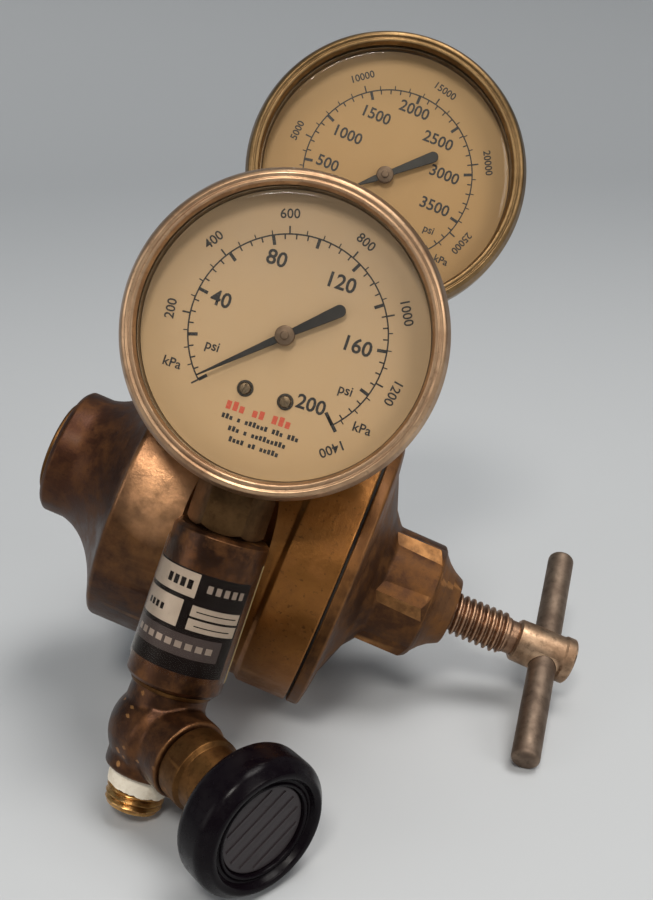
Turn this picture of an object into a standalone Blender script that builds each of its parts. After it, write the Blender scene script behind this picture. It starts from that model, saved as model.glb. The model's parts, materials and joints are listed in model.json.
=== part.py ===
"""Two-gauge compressed-gas pressure regulator with a T-handle and an outlet needle valve.

It lies on a bench. Every piece is modelled in the regulator's own frame, in which X is the axis of the
body, bonnet and adjusting screw (towards the T-handle), -Y is the side that the gauges face, and Z runs
up along the gauge stems. One empty, bench_pose, then leans that frame back and rolls it, so that the
model stands on z = 0 as the real regulator rests.
"""

import math

import bmesh
import bpy
from mathutils import Matrix, Vector

MM = 0.001
GAP = 0.3 * MM  # clearance between pieces that touch

# How the regulator lies on the bench
LEAN_BACK = math.radians(18.2)
ROLL = math.radians(23.0)

# Body and bonnet, turned about X, with the diaphragm's plane at x = 0
DRUM_RADIUS = 36 * MM
FLANGE_RADIUS = 37 * MM
FLANGE_WIDTH = 13 * MM
DRUM_LENGTH = 54.5 * MM
BOSS_RADIUS = 16.5 * MM
BOSS_END_X = -78.4 * MM
CHAMBER_RADIUS = 30 * MM
BONNET_HEX_FLATS = 29 * MM
BONNET_LENGTH = 31 * MM
DIAPHRAGM_RADIUS = 35.8 * MM

# Adjusting screw, 7/16-14, and its T-handle
SCREW_RADIUS = 5.5 * MM
SCREW_PITCH = 25.4 * MM / 14
SCREW_TIP_X = 20 * MM
HUB_START_X = 49 * MM
HUB_END_X = 64.5 * MM
TEE_X = 57.5 * MM
TEE_LENGTH = 68.5 * MM
TEE_RADIUS = 3.5 * MM
TEE_TURN = math.radians(49)
SPRING_TURNS = 4.5
SPRING_WIRE = 2.0 * MM

# Outlet column: the tube in front of the drum, which leans a little about its side port
COLUMN_LEAN = math.radians(-4.0)
COLUMN_X = -26.9 * MM
COLUMN_Y = -41.5 * MM
COLUMN_RADIUS = 11 * MM
COLUMN_TOP = 2.4 * MM
COLUMN_FOOT = -33.3 * MM
SIDE_PORT_Z = -14 * MM
LABEL_LOW = -27 * MM
LABEL_HIGH = -5 * MM
LABEL_THICKNESS = 0.4 * MM

# Needle valve under the column; its axis turns from +X towards the front and drops a little
VALVE_Z = -44.8 * MM
VALVE_TURN = math.radians(-44)
VALVE_DROP = math.radians(4)
VALVE_RADIUS = 10.8 * MM
NECK_RADIUS = 9.2 * MM
KNOB_RADIUS = 15.6 * MM
KNOB_BACK = 30.4 * MM
KNOB_FRONT = 42.4 * MM
NIPPLE_RADIUS = 6.85 * MM
GAS_BORE = 2.6 * MM
VALVE_FOOT = -54.4 * MM
NIPPLE_END = -62.8 * MM
TAPE_LOW = -58 * MM

# Gauges, 2 1/2 inch: a gauge's own frame has its dial at z = 0, z towards the reader and y up
BEZEL_RADIUS = 34.8 * MM
CASE_RADIUS = 32.2 * MM
DIAL_RADIUS = 30.4 * MM
CASE_WALL = 1.2 * MM
CASE_BACK = -17 * MM
BEZEL_BACK = -4.5 * MM
STEM_DEPTH = -10 * MM
GAUGE_HEX_FLATS = 15.6 * MM
DELIVERY_HEIGHT = 47.3 * MM
SUPPLY_X = -27.8 * MM
SUPPLY_Y = 3.3 * MM
SUPPLY_HEIGHT = 95.5 * MM
SUPPLY_PORT_TOP = 49.6 * MM
DIAL_START = math.radians(225)
SECTOR_PIVOT = 9 * MM
PINION_RADIUS = 1.35 * MM

# Inlet on the far side of the drum
INLET_X = -27.8 * MM
INLET_DROP = math.radians(12)
INLET_NUT_FLATS = 28.6 * MM
INLET_END = 79 * MM

SMOOTH_ANGLE = math.radians(35)
FINE, MEDIUM, COARSE = 32, 20, 12


# ---------------------------------------------------------------- materials and helpers

def material(name, colour, roughness, metallic):
    """A Principled material for the solids of one kind of metal, rubber or plastic."""
    made = bpy.data.materials.new(name)
    made.use_nodes = True
    shader = made.node_tree.nodes["Principled BSDF"]
    shader.inputs["Base Color"].default_value = (*colour, 1)
    shader.inputs["Roughness"].default_value = roughness
    shader.inputs["Metallic"].default_value = metallic
    made.diffuse_color = (*colour, 1)
    return made


def clear_scene():
    for obj in list(bpy.data.objects):
        bpy.data.objects.remove(obj)


def frame_at(point, z_axis, x_hint=(1, 0, 0)):
    """The matrix that carries a piece's own z axis to z_axis, and its origin to point."""
    z = Vector(z_axis).normalized()
    x = Vector(x_hint)
    x = (x - z * x.dot(z)).normalized()
    y = z.cross(x)
    return Matrix.Translation(Vector(point)) @ Matrix((x, y, z)).transposed().to_4x4()


def add(name, bm, finish, place, parent):
    """One closed solid from a bmesh: normals out, smooth on its round faces, at its place."""
    bmesh.ops.remove_doubles(bm, verts=bm.verts, dist=1e-7)
    bmesh.ops.recalc_face_normals(bm, faces=bm.faces)
    mesh = bpy.data.meshes.new(name)
    bm.to_mesh(mesh)
    bm.free()
    mesh.shade_smooth()
    mesh.set_sharp_from_angle(angle=SMOOTH_ANGLE)
    obj = bpy.data.objects.new(name, mesh)
    bpy.context.scene.collection.objects.link(obj)
    if finish:
        mesh.materials.append(finish)
    obj.parent = parent
    obj.matrix_basis = parent_frame(parent).inverted() @ place
    return obj


def parent_frame(obj):
    """An object's place in the regulator's frame."""
    if obj is None or obj.parent is None:
        return Matrix()
    return parent_frame(obj.parent) @ obj.matrix_basis


def joint_empty(name, place, parent):
    """An empty on a joint's axis, which the pieces that move there hang from."""
    empty = bpy.data.objects.new(name, None)
    empty.empty_display_size = 5 * MM
    bpy.context.scene.collection.objects.link(empty)
    empty.parent = parent
    empty.matrix_basis = parent_frame(parent).inverted() @ place
    return empty


def turned_bmesh(outline, steps=MEDIUM):
    """Spins an outline of (height, radius) points about z. It closes on the axis, or back on itself."""
    bm = bmesh.new()
    verts = [bm.verts.new((radius, 0, height)) for height, radius in outline]
    edges = [bm.edges.new(pair) for pair in zip(verts, verts[1:])]
    if outline[0][1] > 0 or outline[-1][1] > 0:
        edges.append(bm.edges.new((verts[-1], verts[0])))
    bmesh.ops.spin(bm, geom=verts + edges, cent=(0, 0, 0), axis=(0, 0, 1), angle=math.tau,
                   steps=steps, use_merge=True)
    bmesh.ops.remove_doubles(bm, verts=bm.verts, dist=1e-7)
    return bm


def prism_bmesh(corners, low, high):
    """Extrudes a flat outline of (x, y) corners from low to high."""
    bm = bmesh.new()
    face = bm.faces.new([bm.verts.new((x, y, low)) for x, y in corners])
    made = bmesh.ops.extrude_face_region(bm, geom=[face])["geom"]
    raised = [item for item in made if isinstance(item, bmesh.types.BMVert)]
    bmesh.ops.translate(bm, verts=raised, vec=(0, 0, high - low))
    return bm


def hexagon(flats, sides=6):
    radius = flats / 2 / math.cos(math.pi / sides)
    turns = [math.tau * k / sides for k in range(sides)]
    return [(radius * math.cos(turn), radius * math.sin(turn)) for turn in turns]


def box_bmesh(low, high):
    corners = [(low[0], low[1]), (high[0], low[1]), (high[0], high[1]), (low[0], high[1])]
    return prism_bmesh(corners, low[2], high[2])


def curve_points(start, control, end, steps):
    """Points of a smooth bend from start to end, pulled towards control."""
    points = []
    for k in range(steps + 1):
        t = k / steps
        points.append(tuple((1 - t) ** 2 * a + 2 * t * (1 - t) * b + t ** 2 * c
                            for a, b, c in zip(start, control, end)))
    return points


def rod(radius, low, high, bevel=0.0):
    """The outline of a plain pin, with its ends chamfered by bevel."""
    if bevel:
        return [(low, 0), (low, radius - bevel), (low + bevel, radius), (high - bevel, radius),
                (high, radius - bevel), (high, 0)]
    return [(low, 0), (low, radius), (high, radius), (high, 0)]


def ring(inner, outer, low, high):
    return [(low, inner), (low, outer), (high, outer), (high, inner)]


def combine(obj, operation, bm, place, parent):
    """Joins or cuts a piece with a helper solid that a render leaves out."""
    helper = add(f"{obj.name}_{operation.lower()}_{len(obj.modifiers)}", bm, None, place, parent)
    helper.hide_render = True
    helper.display_type = "WIRE"
    change = obj.modifiers.new(operation.title(), "BOOLEAN")
    change.operation = operation
    change.object = helper
    return helper


def cut(obj, bm, place, parent):
    return combine(obj, "DIFFERENCE", bm, place, parent)


def fuse(obj, bm, place, parent):
    return combine(obj, "UNION", bm, place, parent)


def coil_points(radius, low, high, turns, per_turn=8):
    """The centre line of a coil spring."""
    points = []
    count = int(turns * per_turn)
    for k in range(count + 1):
        t = k / count
        turn = math.tau * turns * t
        points.append(Vector((radius * math.cos(turn), radius * math.sin(turn), low + (high - low) * t)))
    return points


def wire(name, points, radius, finish, place, parent, sides=1):
    """A round wire along the points, as a curve with a bevel and filled caps."""
    curve = bpy.data.curves.new(name, "CURVE")
    curve.dimensions = "3D"
    curve.bevel_depth = radius
    curve.bevel_resolution = sides
    curve.use_fill_caps = True
    spline = curve.splines.new("POLY")
    spline.points.add(len(points) - 1)
    for vertex, point in zip(spline.points, points):
        vertex.co = (*point, 1)
    curve.materials.append(finish)
    obj = bpy.data.objects.new(name, curve)
    bpy.context.scene.collection.objects.link(obj)
    obj.parent = parent
    obj.matrix_basis = parent_frame(parent).inverted() @ place
    return obj


# ---------------------------------------------------------------- frames of the regulator

ALONG_X = frame_at((0, 0, 0), (1, 0, 0), (0, 1, 0))
COLUMN = (Matrix.Translation((COLUMN_X, COLUMN_Y, SIDE_PORT_Z)) @ Matrix.Rotation(COLUMN_LEAN, 4, "Y")
          @ Matrix.Translation((0, 0, -SIDE_PORT_Z)))
VALVE_AXIS = Vector((math.cos(VALVE_TURN), math.sin(VALVE_TURN), -math.sin(VALVE_DROP)))
VALVE = COLUMN @ frame_at((0, 0, VALVE_Z), VALVE_AXIS, (0, 0, 1))
INLET_AXIS = Vector((0, math.cos(INLET_DROP), -math.sin(INLET_DROP)))
INLET = frame_at((INLET_X, 0, 0), INLET_AXIS)
DELIVERY_STEM = COLUMN @ Matrix.Translation((0, 0, DELIVERY_HEIGHT))
SUPPLY_STEM = Matrix.Translation((SUPPLY_X, SUPPLY_Y, SUPPLY_HEIGHT))


# ---------------------------------------------------------------- body and bonnet

def body_outline():
    """Outer skin from the end boss over the bell to the flange, then back through the hollow inside."""
    bell = curve_points((-71 * MM, BOSS_RADIUS), (-61.5 * MM, 18.3 * MM),
                        (-DRUM_LENGTH, DRUM_RADIUS - 1.2 * MM), 6)
    shoulder = [(-DRUM_LENGTH + 0.6 * MM, DRUM_RADIUS - 0.3 * MM), (-DRUM_LENGTH + 2 * MM, DRUM_RADIUS)]
    flange = [(-FLANGE_WIDTH - 1 * MM, DRUM_RADIUS), (-FLANGE_WIDTH, FLANGE_RADIUS),
              (-1.4 * MM, FLANGE_RADIUS), (-0.8 * MM, FLANGE_RADIUS - 0.6 * MM)]
    chamber = [(-0.8 * MM, CHAMBER_RADIUS), (-9 * MM, CHAMBER_RADIUS), (-9 * MM, 4.6 * MM),
               (-22 * MM, 4.6 * MM)]
    poppet_bore = [(-22 * MM, 9 * MM), (-66 * MM, 9 * MM), (-66 * MM, 11 * MM),
                   (BOSS_END_X + 1 * MM, 11 * MM)]
    boss = [(BOSS_END_X + 1 * MM, BOSS_RADIUS - 3 * MM), (BOSS_END_X + 1.8 * MM, BOSS_RADIUS - 1 * MM),
            (BOSS_END_X + 3.5 * MM, BOSS_RADIUS)]
    return boss + bell + shoulder + flange + chamber + poppet_bore


def build_body(root, finishes):
    brass = finishes["brass"]
    body = add("body_casting", turned_bmesh(body_outline(), FINE), brass, ALONG_X, root)
    supply_port = frame_at((SUPPLY_X, SUPPLY_Y, 0), (0, 0, 1))
    supply_boss = turned_bmesh(rod(9.5 * MM, 30 * MM, SUPPLY_PORT_TOP, 0.8 * MM), COARSE)
    fuse(body, supply_boss, supply_port, root)
    fuse(body, turned_bmesh(rod(12 * MM, 26 * MM, 44 * MM, 0.8 * MM), COARSE), INLET, root)
    saddle = turned_bmesh(rod(COLUMN_RADIUS + LABEL_THICKNESS + 2 * GAP, -40 * MM, 20 * MM), MEDIUM)
    cut(body, saddle, COLUMN, root)
    side_port = frame_at((COLUMN_X, 0, SIDE_PORT_Z), (0, -1, 0))
    cut(body, turned_bmesh(rod(5.3 * MM, 22 * MM, 45 * MM), COARSE), side_port, root)
    supply_bore = [(5 * MM, 0), (5 * MM, 2 * MM), (20 * MM, 2 * MM), (20 * MM, 6.7 * MM),
                   (54 * MM, 6.7 * MM), (54 * MM, 0)]
    cut(body, turned_bmesh(supply_bore, COARSE), supply_port, root)
    inlet_bore = [(5 * MM, 0), (5 * MM, 2.5 * MM), (20 * MM, 2.5 * MM), (20 * MM, 7.3 * MM),
                  (50 * MM, 7.3 * MM), (50 * MM, 0)]
    cut(body, turned_bmesh(inlet_bore, COARSE), INLET, root)

    bonnet_outline = [(0.8 * MM, FLANGE_RADIUS - 0.5 * MM), (1.3 * MM, FLANGE_RADIUS),
                      (3 * MM, FLANGE_RADIUS), (3.6 * MM, 34 * MM), (4.6 * MM, 28 * MM),
                      (8.6 * MM, 18 * MM), (11 * MM, 15.6 * MM), (23.9 * MM, 15.6 * MM),
                      (24.7 * MM, 13.6 * MM), (26.1 * MM, 11.8 * MM), (28.1 * MM, 10.2 * MM),
                      (BONNET_LENGTH, 8.8 * MM), (BONNET_LENGTH, 0), (0.8 * MM, 0)]
    bonnet = add("bonnet", turned_bmesh(bonnet_outline, FINE), brass, ALONG_X, root)
    hex_block = prism_bmesh(hexagon(BONNET_HEX_FLATS), 8.8 * MM, 23.5 * MM)
    bmesh.ops.bevel(hex_block, geom=hex_block.edges, offset=1.2 * MM, segments=1, affect="EDGES")
    fuse(bonnet, hex_block, ALONG_X, root)
    hollow = [(-2 * MM, 0), (-2 * MM, CHAMBER_RADIUS), (0.8 * MM, CHAMBER_RADIUS), (3 * MM, 20 * MM),
              (7 * MM, 11 * MM), (22.3 * MM, 11 * MM), (22.3 * MM, SCREW_RADIUS + GAP),
              (36 * MM, SCREW_RADIUS + GAP), (36 * MM, 0)]
    cut(bonnet, turned_bmesh(hollow, MEDIUM), ALONG_X, root)

    add("diaphragm", turned_bmesh(rod(DIAPHRAGM_RADIUS, -0.5 * MM, 0.5 * MM), FINE),
        finishes["rubber"], ALONG_X, root)
    add("diaphragm_plate", turned_bmesh(rod(10.5 * MM, 0.8 * MM, 2 * MM), COARSE), finishes["steel"],
        ALONG_X, root)
    coil = coil_points(8.2 * MM, 2.3 * MM + SPRING_WIRE / 2, 17 * MM - SPRING_WIRE / 2, SPRING_TURNS)
    wire("range_spring", coil, SPRING_WIRE / 2, finishes["steel"], ALONG_X, root)


def build_seat(root, finishes):
    """The high-pressure side: nozzle, sprung poppet and the cap that closes the end boss."""
    brass, steel = finishes["machined"], finishes["steel"]
    nozzle = [(-21.6 * MM, 1.6 * MM), (-21.6 * MM, 4.3 * MM), (-12 * MM, 4.3 * MM),
              (-12 * MM, 1.6 * MM)]
    add("seat_nozzle", turned_bmesh(nozzle, COARSE), brass, ALONG_X, root)
    poppet = [(-46 * MM, 0), (-46 * MM, 2.5 * MM), (-30 * MM, 2.5 * MM), (-30 * MM, 6 * MM),
              (-24.5 * MM, 6 * MM), (-22.4 * MM, 3 * MM), (-22.4 * MM, 1.1 * MM), (-1.2 * MM, 1.1 * MM),
              (-1.2 * MM, 0)]
    slide = joint_empty("poppet_slide", ALONG_X, root)
    add("poppet", turned_bmesh(poppet, COARSE), steel, ALONG_X, slide)
    coil = coil_points(4.6 * MM, -61.5 * MM, -31.2 * MM, 6)
    wire("poppet_spring", coil, 0.6 * MM, steel, ALONG_X, root)
    cap = [(-66 * MM - GAP, 0), (-66 * MM - GAP, 10.6 * MM), (BOSS_END_X + 1 * MM - GAP, 10.6 * MM),
           (BOSS_END_X + 1 * MM - GAP, 12.6 * MM), (BOSS_END_X - 0.6 * MM, 12.6 * MM),
           (BOSS_END_X - 0.6 * MM, 4 * MM), (BOSS_END_X + 3 * MM, 4 * MM), (BOSS_END_X + 3 * MM, 0)]
    add("end_cap", turned_bmesh(cap, MEDIUM), brass, ALONG_X, root)


# ---------------------------------------------------------------- adjusting screw

def screw_outline():
    """A thread of plain rounded ridges, one per pitch, then the smooth neck and the T-hub."""
    points = [(SCREW_TIP_X, 0), (SCREW_TIP_X, SCREW_RADIUS - 1.5 * MM)]
    ridges = int((HUB_START_X - 3 * MM - SCREW_TIP_X - 1 * MM) / SCREW_PITCH)
    for k in range(ridges):
        start = SCREW_TIP_X + 1 * MM + k * SCREW_PITCH
        points.append((start, SCREW_RADIUS - 0.9 * MM))
        points.append((start + SCREW_PITCH / 2, SCREW_RADIUS))
    neck = HUB_START_X - 2.5 * MM
    points += [(neck, 4.4 * MM), (HUB_START_X, 4.4 * MM), (HUB_START_X, 5.0 * MM),
               (HUB_START_X + 0.6 * MM, 5.4 * MM), (HUB_END_X - 0.6 * MM, 6.0 * MM),
               (HUB_END_X, 5.5 * MM), (HUB_END_X, 0)]
    return points


def build_adjuster(root, finishes):
    slide = joint_empty("screw_travel", ALONG_X, root)
    button = [(17.4 * MM, 0), (17.4 * MM, 9.6 * MM), (18.4 * MM, 9.6 * MM), (19.6 * MM, 4 * MM),
              (19.6 * MM, 0)]
    add("spring_button", turned_bmesh(button, COARSE), finishes["machined"], ALONG_X, slide)
    spin = joint_empty("screw_turn", ALONG_X, slide)
    screw = add("adjusting_screw", turned_bmesh(screw_outline(), COARSE), finishes["steel"], ALONG_X,
                spin)
    bar_axis = (0, math.sin(TEE_TURN), math.cos(TEE_TURN))
    bar_frame = frame_at((TEE_X, 0, 0), bar_axis)
    cut(screw, turned_bmesh(rod(TEE_RADIUS + GAP, -12 * MM, 12 * MM), COARSE), bar_frame, spin)
    half = TEE_LENGTH / 2
    bar = [(-half, 0), (-half, 2.2 * MM), (-half + 1.2 * MM, TEE_RADIUS), (half - 1.2 * MM, TEE_RADIUS),
           (half, 2.2 * MM), (half, 0)]
    add("tee_bar", turned_bmesh(bar, COARSE), finishes["dark_steel"], bar_frame, spin)


# ---------------------------------------------------------------- outlet column and needle valve

def build_column(root, finishes):
    brass = finishes["brass"]
    outline = [(COLUMN_FOOT, 6.6 * MM), (COLUMN_FOOT, COLUMN_RADIUS - 0.6 * MM),
               (COLUMN_FOOT + 0.8 * MM, COLUMN_RADIUS), (COLUMN_TOP - 0.8 * MM, COLUMN_RADIUS),
               (COLUMN_TOP, COLUMN_RADIUS - 0.8 * MM), (COLUMN_TOP, 6.7 * MM), (-9 * MM, 6.7 * MM),
               (-9 * MM, 3.5 * MM), (-27 * MM, 3.5 * MM), (-27 * MM, 6.6 * MM)]
    column = add("outlet_column", turned_bmesh(outline, MEDIUM), brass, COLUMN, root)
    port = frame_at((COLUMN_X, COLUMN_Y, SIDE_PORT_Z), (0, 1, 0))
    cut(column, turned_bmesh(rod(5.3 * MM, 1 * MM, 14 * MM), COARSE), port, root)
    add("side_nipple", turned_bmesh(ring(3 * MM, 5 * MM, 6 * MM, 19 * MM), COARSE), finishes["machined"],
        port, root)

    label = ring(COLUMN_RADIUS + 0.1 * MM, COLUMN_RADIUS + LABEL_THICKNESS, LABEL_LOW, LABEL_HIGH)
    wrap = add("label_sleeve", turned_bmesh(label, MEDIUM), finishes["label"], COLUMN, root)
    open_back = box_bmesh((-9.5 * MM, 2 * MM, LABEL_LOW - 1 * MM),
                          (9.5 * MM, 14 * MM, LABEL_HIGH + 1 * MM))
    cut(wrap, open_back, COLUMN, root)


def build_valve(root, finishes):
    brass = finishes["brass"]
    dome = []
    for k in range(9):
        turn = k * math.pi / 16
        dome.append((-VALVE_RADIUS * math.cos(turn), VALVE_RADIUS * math.sin(turn)))
    outline = dome + [(5 * MM, VALVE_RADIUS - 0.5 * MM), (7 * MM, NECK_RADIUS), (14 * MM, NECK_RADIUS),
                      (14 * MM, 0)]
    valve = add("valve_body", turned_bmesh(outline, MEDIUM), brass, VALVE, root)
    neck_top = COLUMN_FOOT - GAP
    neck = [(VALVE_FOOT, 0), (VALVE_FOOT, 9 * MM), (neck_top, 8.8 * MM), (neck_top, 6.3 * MM),
            (-27.4 * MM, 6.3 * MM), (-27.4 * MM, 0)]
    fuse(valve, turned_bmesh(neck, MEDIUM), COLUMN, root)
    cut(valve, turned_bmesh(rod(3 * MM, -51 * MM, -20 * MM), COARSE), COLUMN, root)
    cut(valve, turned_bmesh(rod(NIPPLE_RADIUS + GAP, -57 * MM, -48 * MM), COARSE), COLUMN, root)
    cut(valve, turned_bmesh(rod(5 * MM, 0, 18 * MM), COARSE), VALVE, root)

    gland = [(14 * MM + GAP, 8.4 * MM), (20 * MM, 8.4 * MM), (21 * MM, 7.4 * MM), (27.4 * MM, 7.0 * MM),
             (27.4 * MM, 2.8 * MM), (12 * MM, 2.8 * MM), (12 * MM, 4.7 * MM), (14 * MM + GAP, 4.7 * MM)]
    add("valve_bonnet", turned_bmesh(gland, MEDIUM), finishes["machined"], VALVE, root)
    add("packing_ring", turned_bmesh(ring(2.8 * MM, 4.7 * MM, 8.5 * MM, 11.6 * MM), COARSE),
        finishes["ptfe"], VALVE, root)

    travel = joint_empty("valve_travel", VALVE, root)
    stem = [(3.6 * MM, 0), (6.5 * MM, 2.4 * MM), (38 * MM, 2.4 * MM), (38 * MM, 0)]
    add("valve_stem", turned_bmesh(stem, COARSE), finishes["steel"], VALVE, travel)
    spin = joint_empty("knob_turn", VALVE, travel)
    knob = [(KNOB_BACK, 2.7 * MM), (KNOB_BACK, KNOB_RADIUS - 2.5 * MM),
            (KNOB_BACK + 2 * MM, KNOB_RADIUS), (KNOB_FRONT - 2.5 * MM, KNOB_RADIUS),
            (KNOB_FRONT - 0.6 * MM, KNOB_RADIUS - 1.3 * MM), (KNOB_FRONT, KNOB_RADIUS - 2.6 * MM),
            (KNOB_FRONT - 0.6 * MM, 11.8 * MM), (KNOB_FRONT - 3 * MM, 11.2 * MM),
            (KNOB_FRONT - 3 * MM, 2.7 * MM)]
    add("valve_knob", turned_bmesh(knob, MEDIUM), finishes["plastic"], VALVE, spin)
    insert = [(KNOB_FRONT - 3 * MM + GAP, 0), (KNOB_FRONT - 3 * MM + GAP, 10.4 * MM),
              (KNOB_FRONT - 1.6 * MM, 10 * MM), (KNOB_FRONT - 1.2 * MM, 0)]
    add("knob_insert", turned_bmesh(insert, MEDIUM), finishes["plastic"], VALVE, spin)

    nipple = [(-48 * MM - GAP, GAS_BORE), (-48 * MM - GAP, NIPPLE_RADIUS),
              (NIPPLE_END + 0.8 * MM, NIPPLE_RADIUS), (NIPPLE_END, NIPPLE_RADIUS - 0.8 * MM),
              (NIPPLE_END, GAS_BORE)]
    add("outlet_nipple", turned_bmesh(nipple, MEDIUM), finishes["machined"], COLUMN, root)
    tape = ring(NIPPLE_RADIUS + GAP, NIPPLE_RADIUS + 2 * GAP, TAPE_LOW, VALVE_FOOT - GAP)
    add("thread_tape", turned_bmesh(tape, MEDIUM), finishes["ptfe"], COLUMN, root)


# ---------------------------------------------------------------- inlet

def build_inlet(root, finishes):
    nipple = [(26 * MM, GAS_BORE), (26 * MM, 7 * MM), (44 * MM, 7 * MM), (44.6 * MM, 8.5 * MM),
              (46 * MM, 8.5 * MM), (46 * MM, 6.4 * MM), (68 * MM, 6.4 * MM), (69 * MM, 8.4 * MM),
              (73 * MM, 8.4 * MM), (INLET_END, 5 * MM), (INLET_END, GAS_BORE)]
    add("inlet_nipple", turned_bmesh(nipple, COARSE), finishes["machined"], INLET, root)
    add("inlet_filter", turned_bmesh(rod(GAS_BORE - GAP, 70 * MM, INLET_END - 1 * MM), COARSE),
        finishes["bronze"], INLET, root)
    spin = joint_empty("inlet_nut_turn", INLET, root)
    nut = prism_bmesh(hexagon(INLET_NUT_FLATS), 52 * MM, 63 * MM)
    bmesh.ops.bevel(nut, geom=nut.edges, offset=1 * MM, segments=1, affect="EDGES")
    solid = add("inlet_nut", nut, finishes["brass"], INLET, spin)
    fuse(solid, turned_bmesh(rod(10.4 * MM, 60 * MM, 77 * MM, 0.8 * MM), MEDIUM), INLET, spin)
    cut(solid, turned_bmesh(rod(6.8 * MM, 50 * MM, 69 * MM), COARSE), INLET, spin)
    cut(solid, turned_bmesh(rod(8.8 * MM, 68 * MM, 80 * MM), COARSE), INLET, spin)


# ---------------------------------------------------------------- gauges

def pointer_corners(tip, tail):
    """A pointer that lies along +x: a thin tip, and a broad tail with a round end."""
    end = [(-tail + 1.4 * MM * (1 - math.sin(turn)), -1.4 * MM * math.cos(turn))
           for turn in (math.radians(a) for a in (0, 45, 90, 135, 180))]
    blade = [(tip, -0.2 * MM), (tip, 0.2 * MM), (2 * MM, 0.9 * MM), (-2 * MM, 0.9 * MM)]
    return blade + end[::-1] + [(-2 * MM, -0.9 * MM), (2 * MM, -0.9 * MM)]


def sector_corners(radius, start, end, hub=1.8 * MM):
    """A pie slice whose point is a round hub at the origin."""
    arc = [start + (end - start) * k / 8 for k in range(9)]
    back = [end + (math.tau - end + start) * k / 6 for k in range(1, 6)]
    return ([(radius * math.cos(turn), radius * math.sin(turn)) for turn in arc]
            + [(hub * math.cos(turn), hub * math.sin(turn)) for turn in back])


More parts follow.
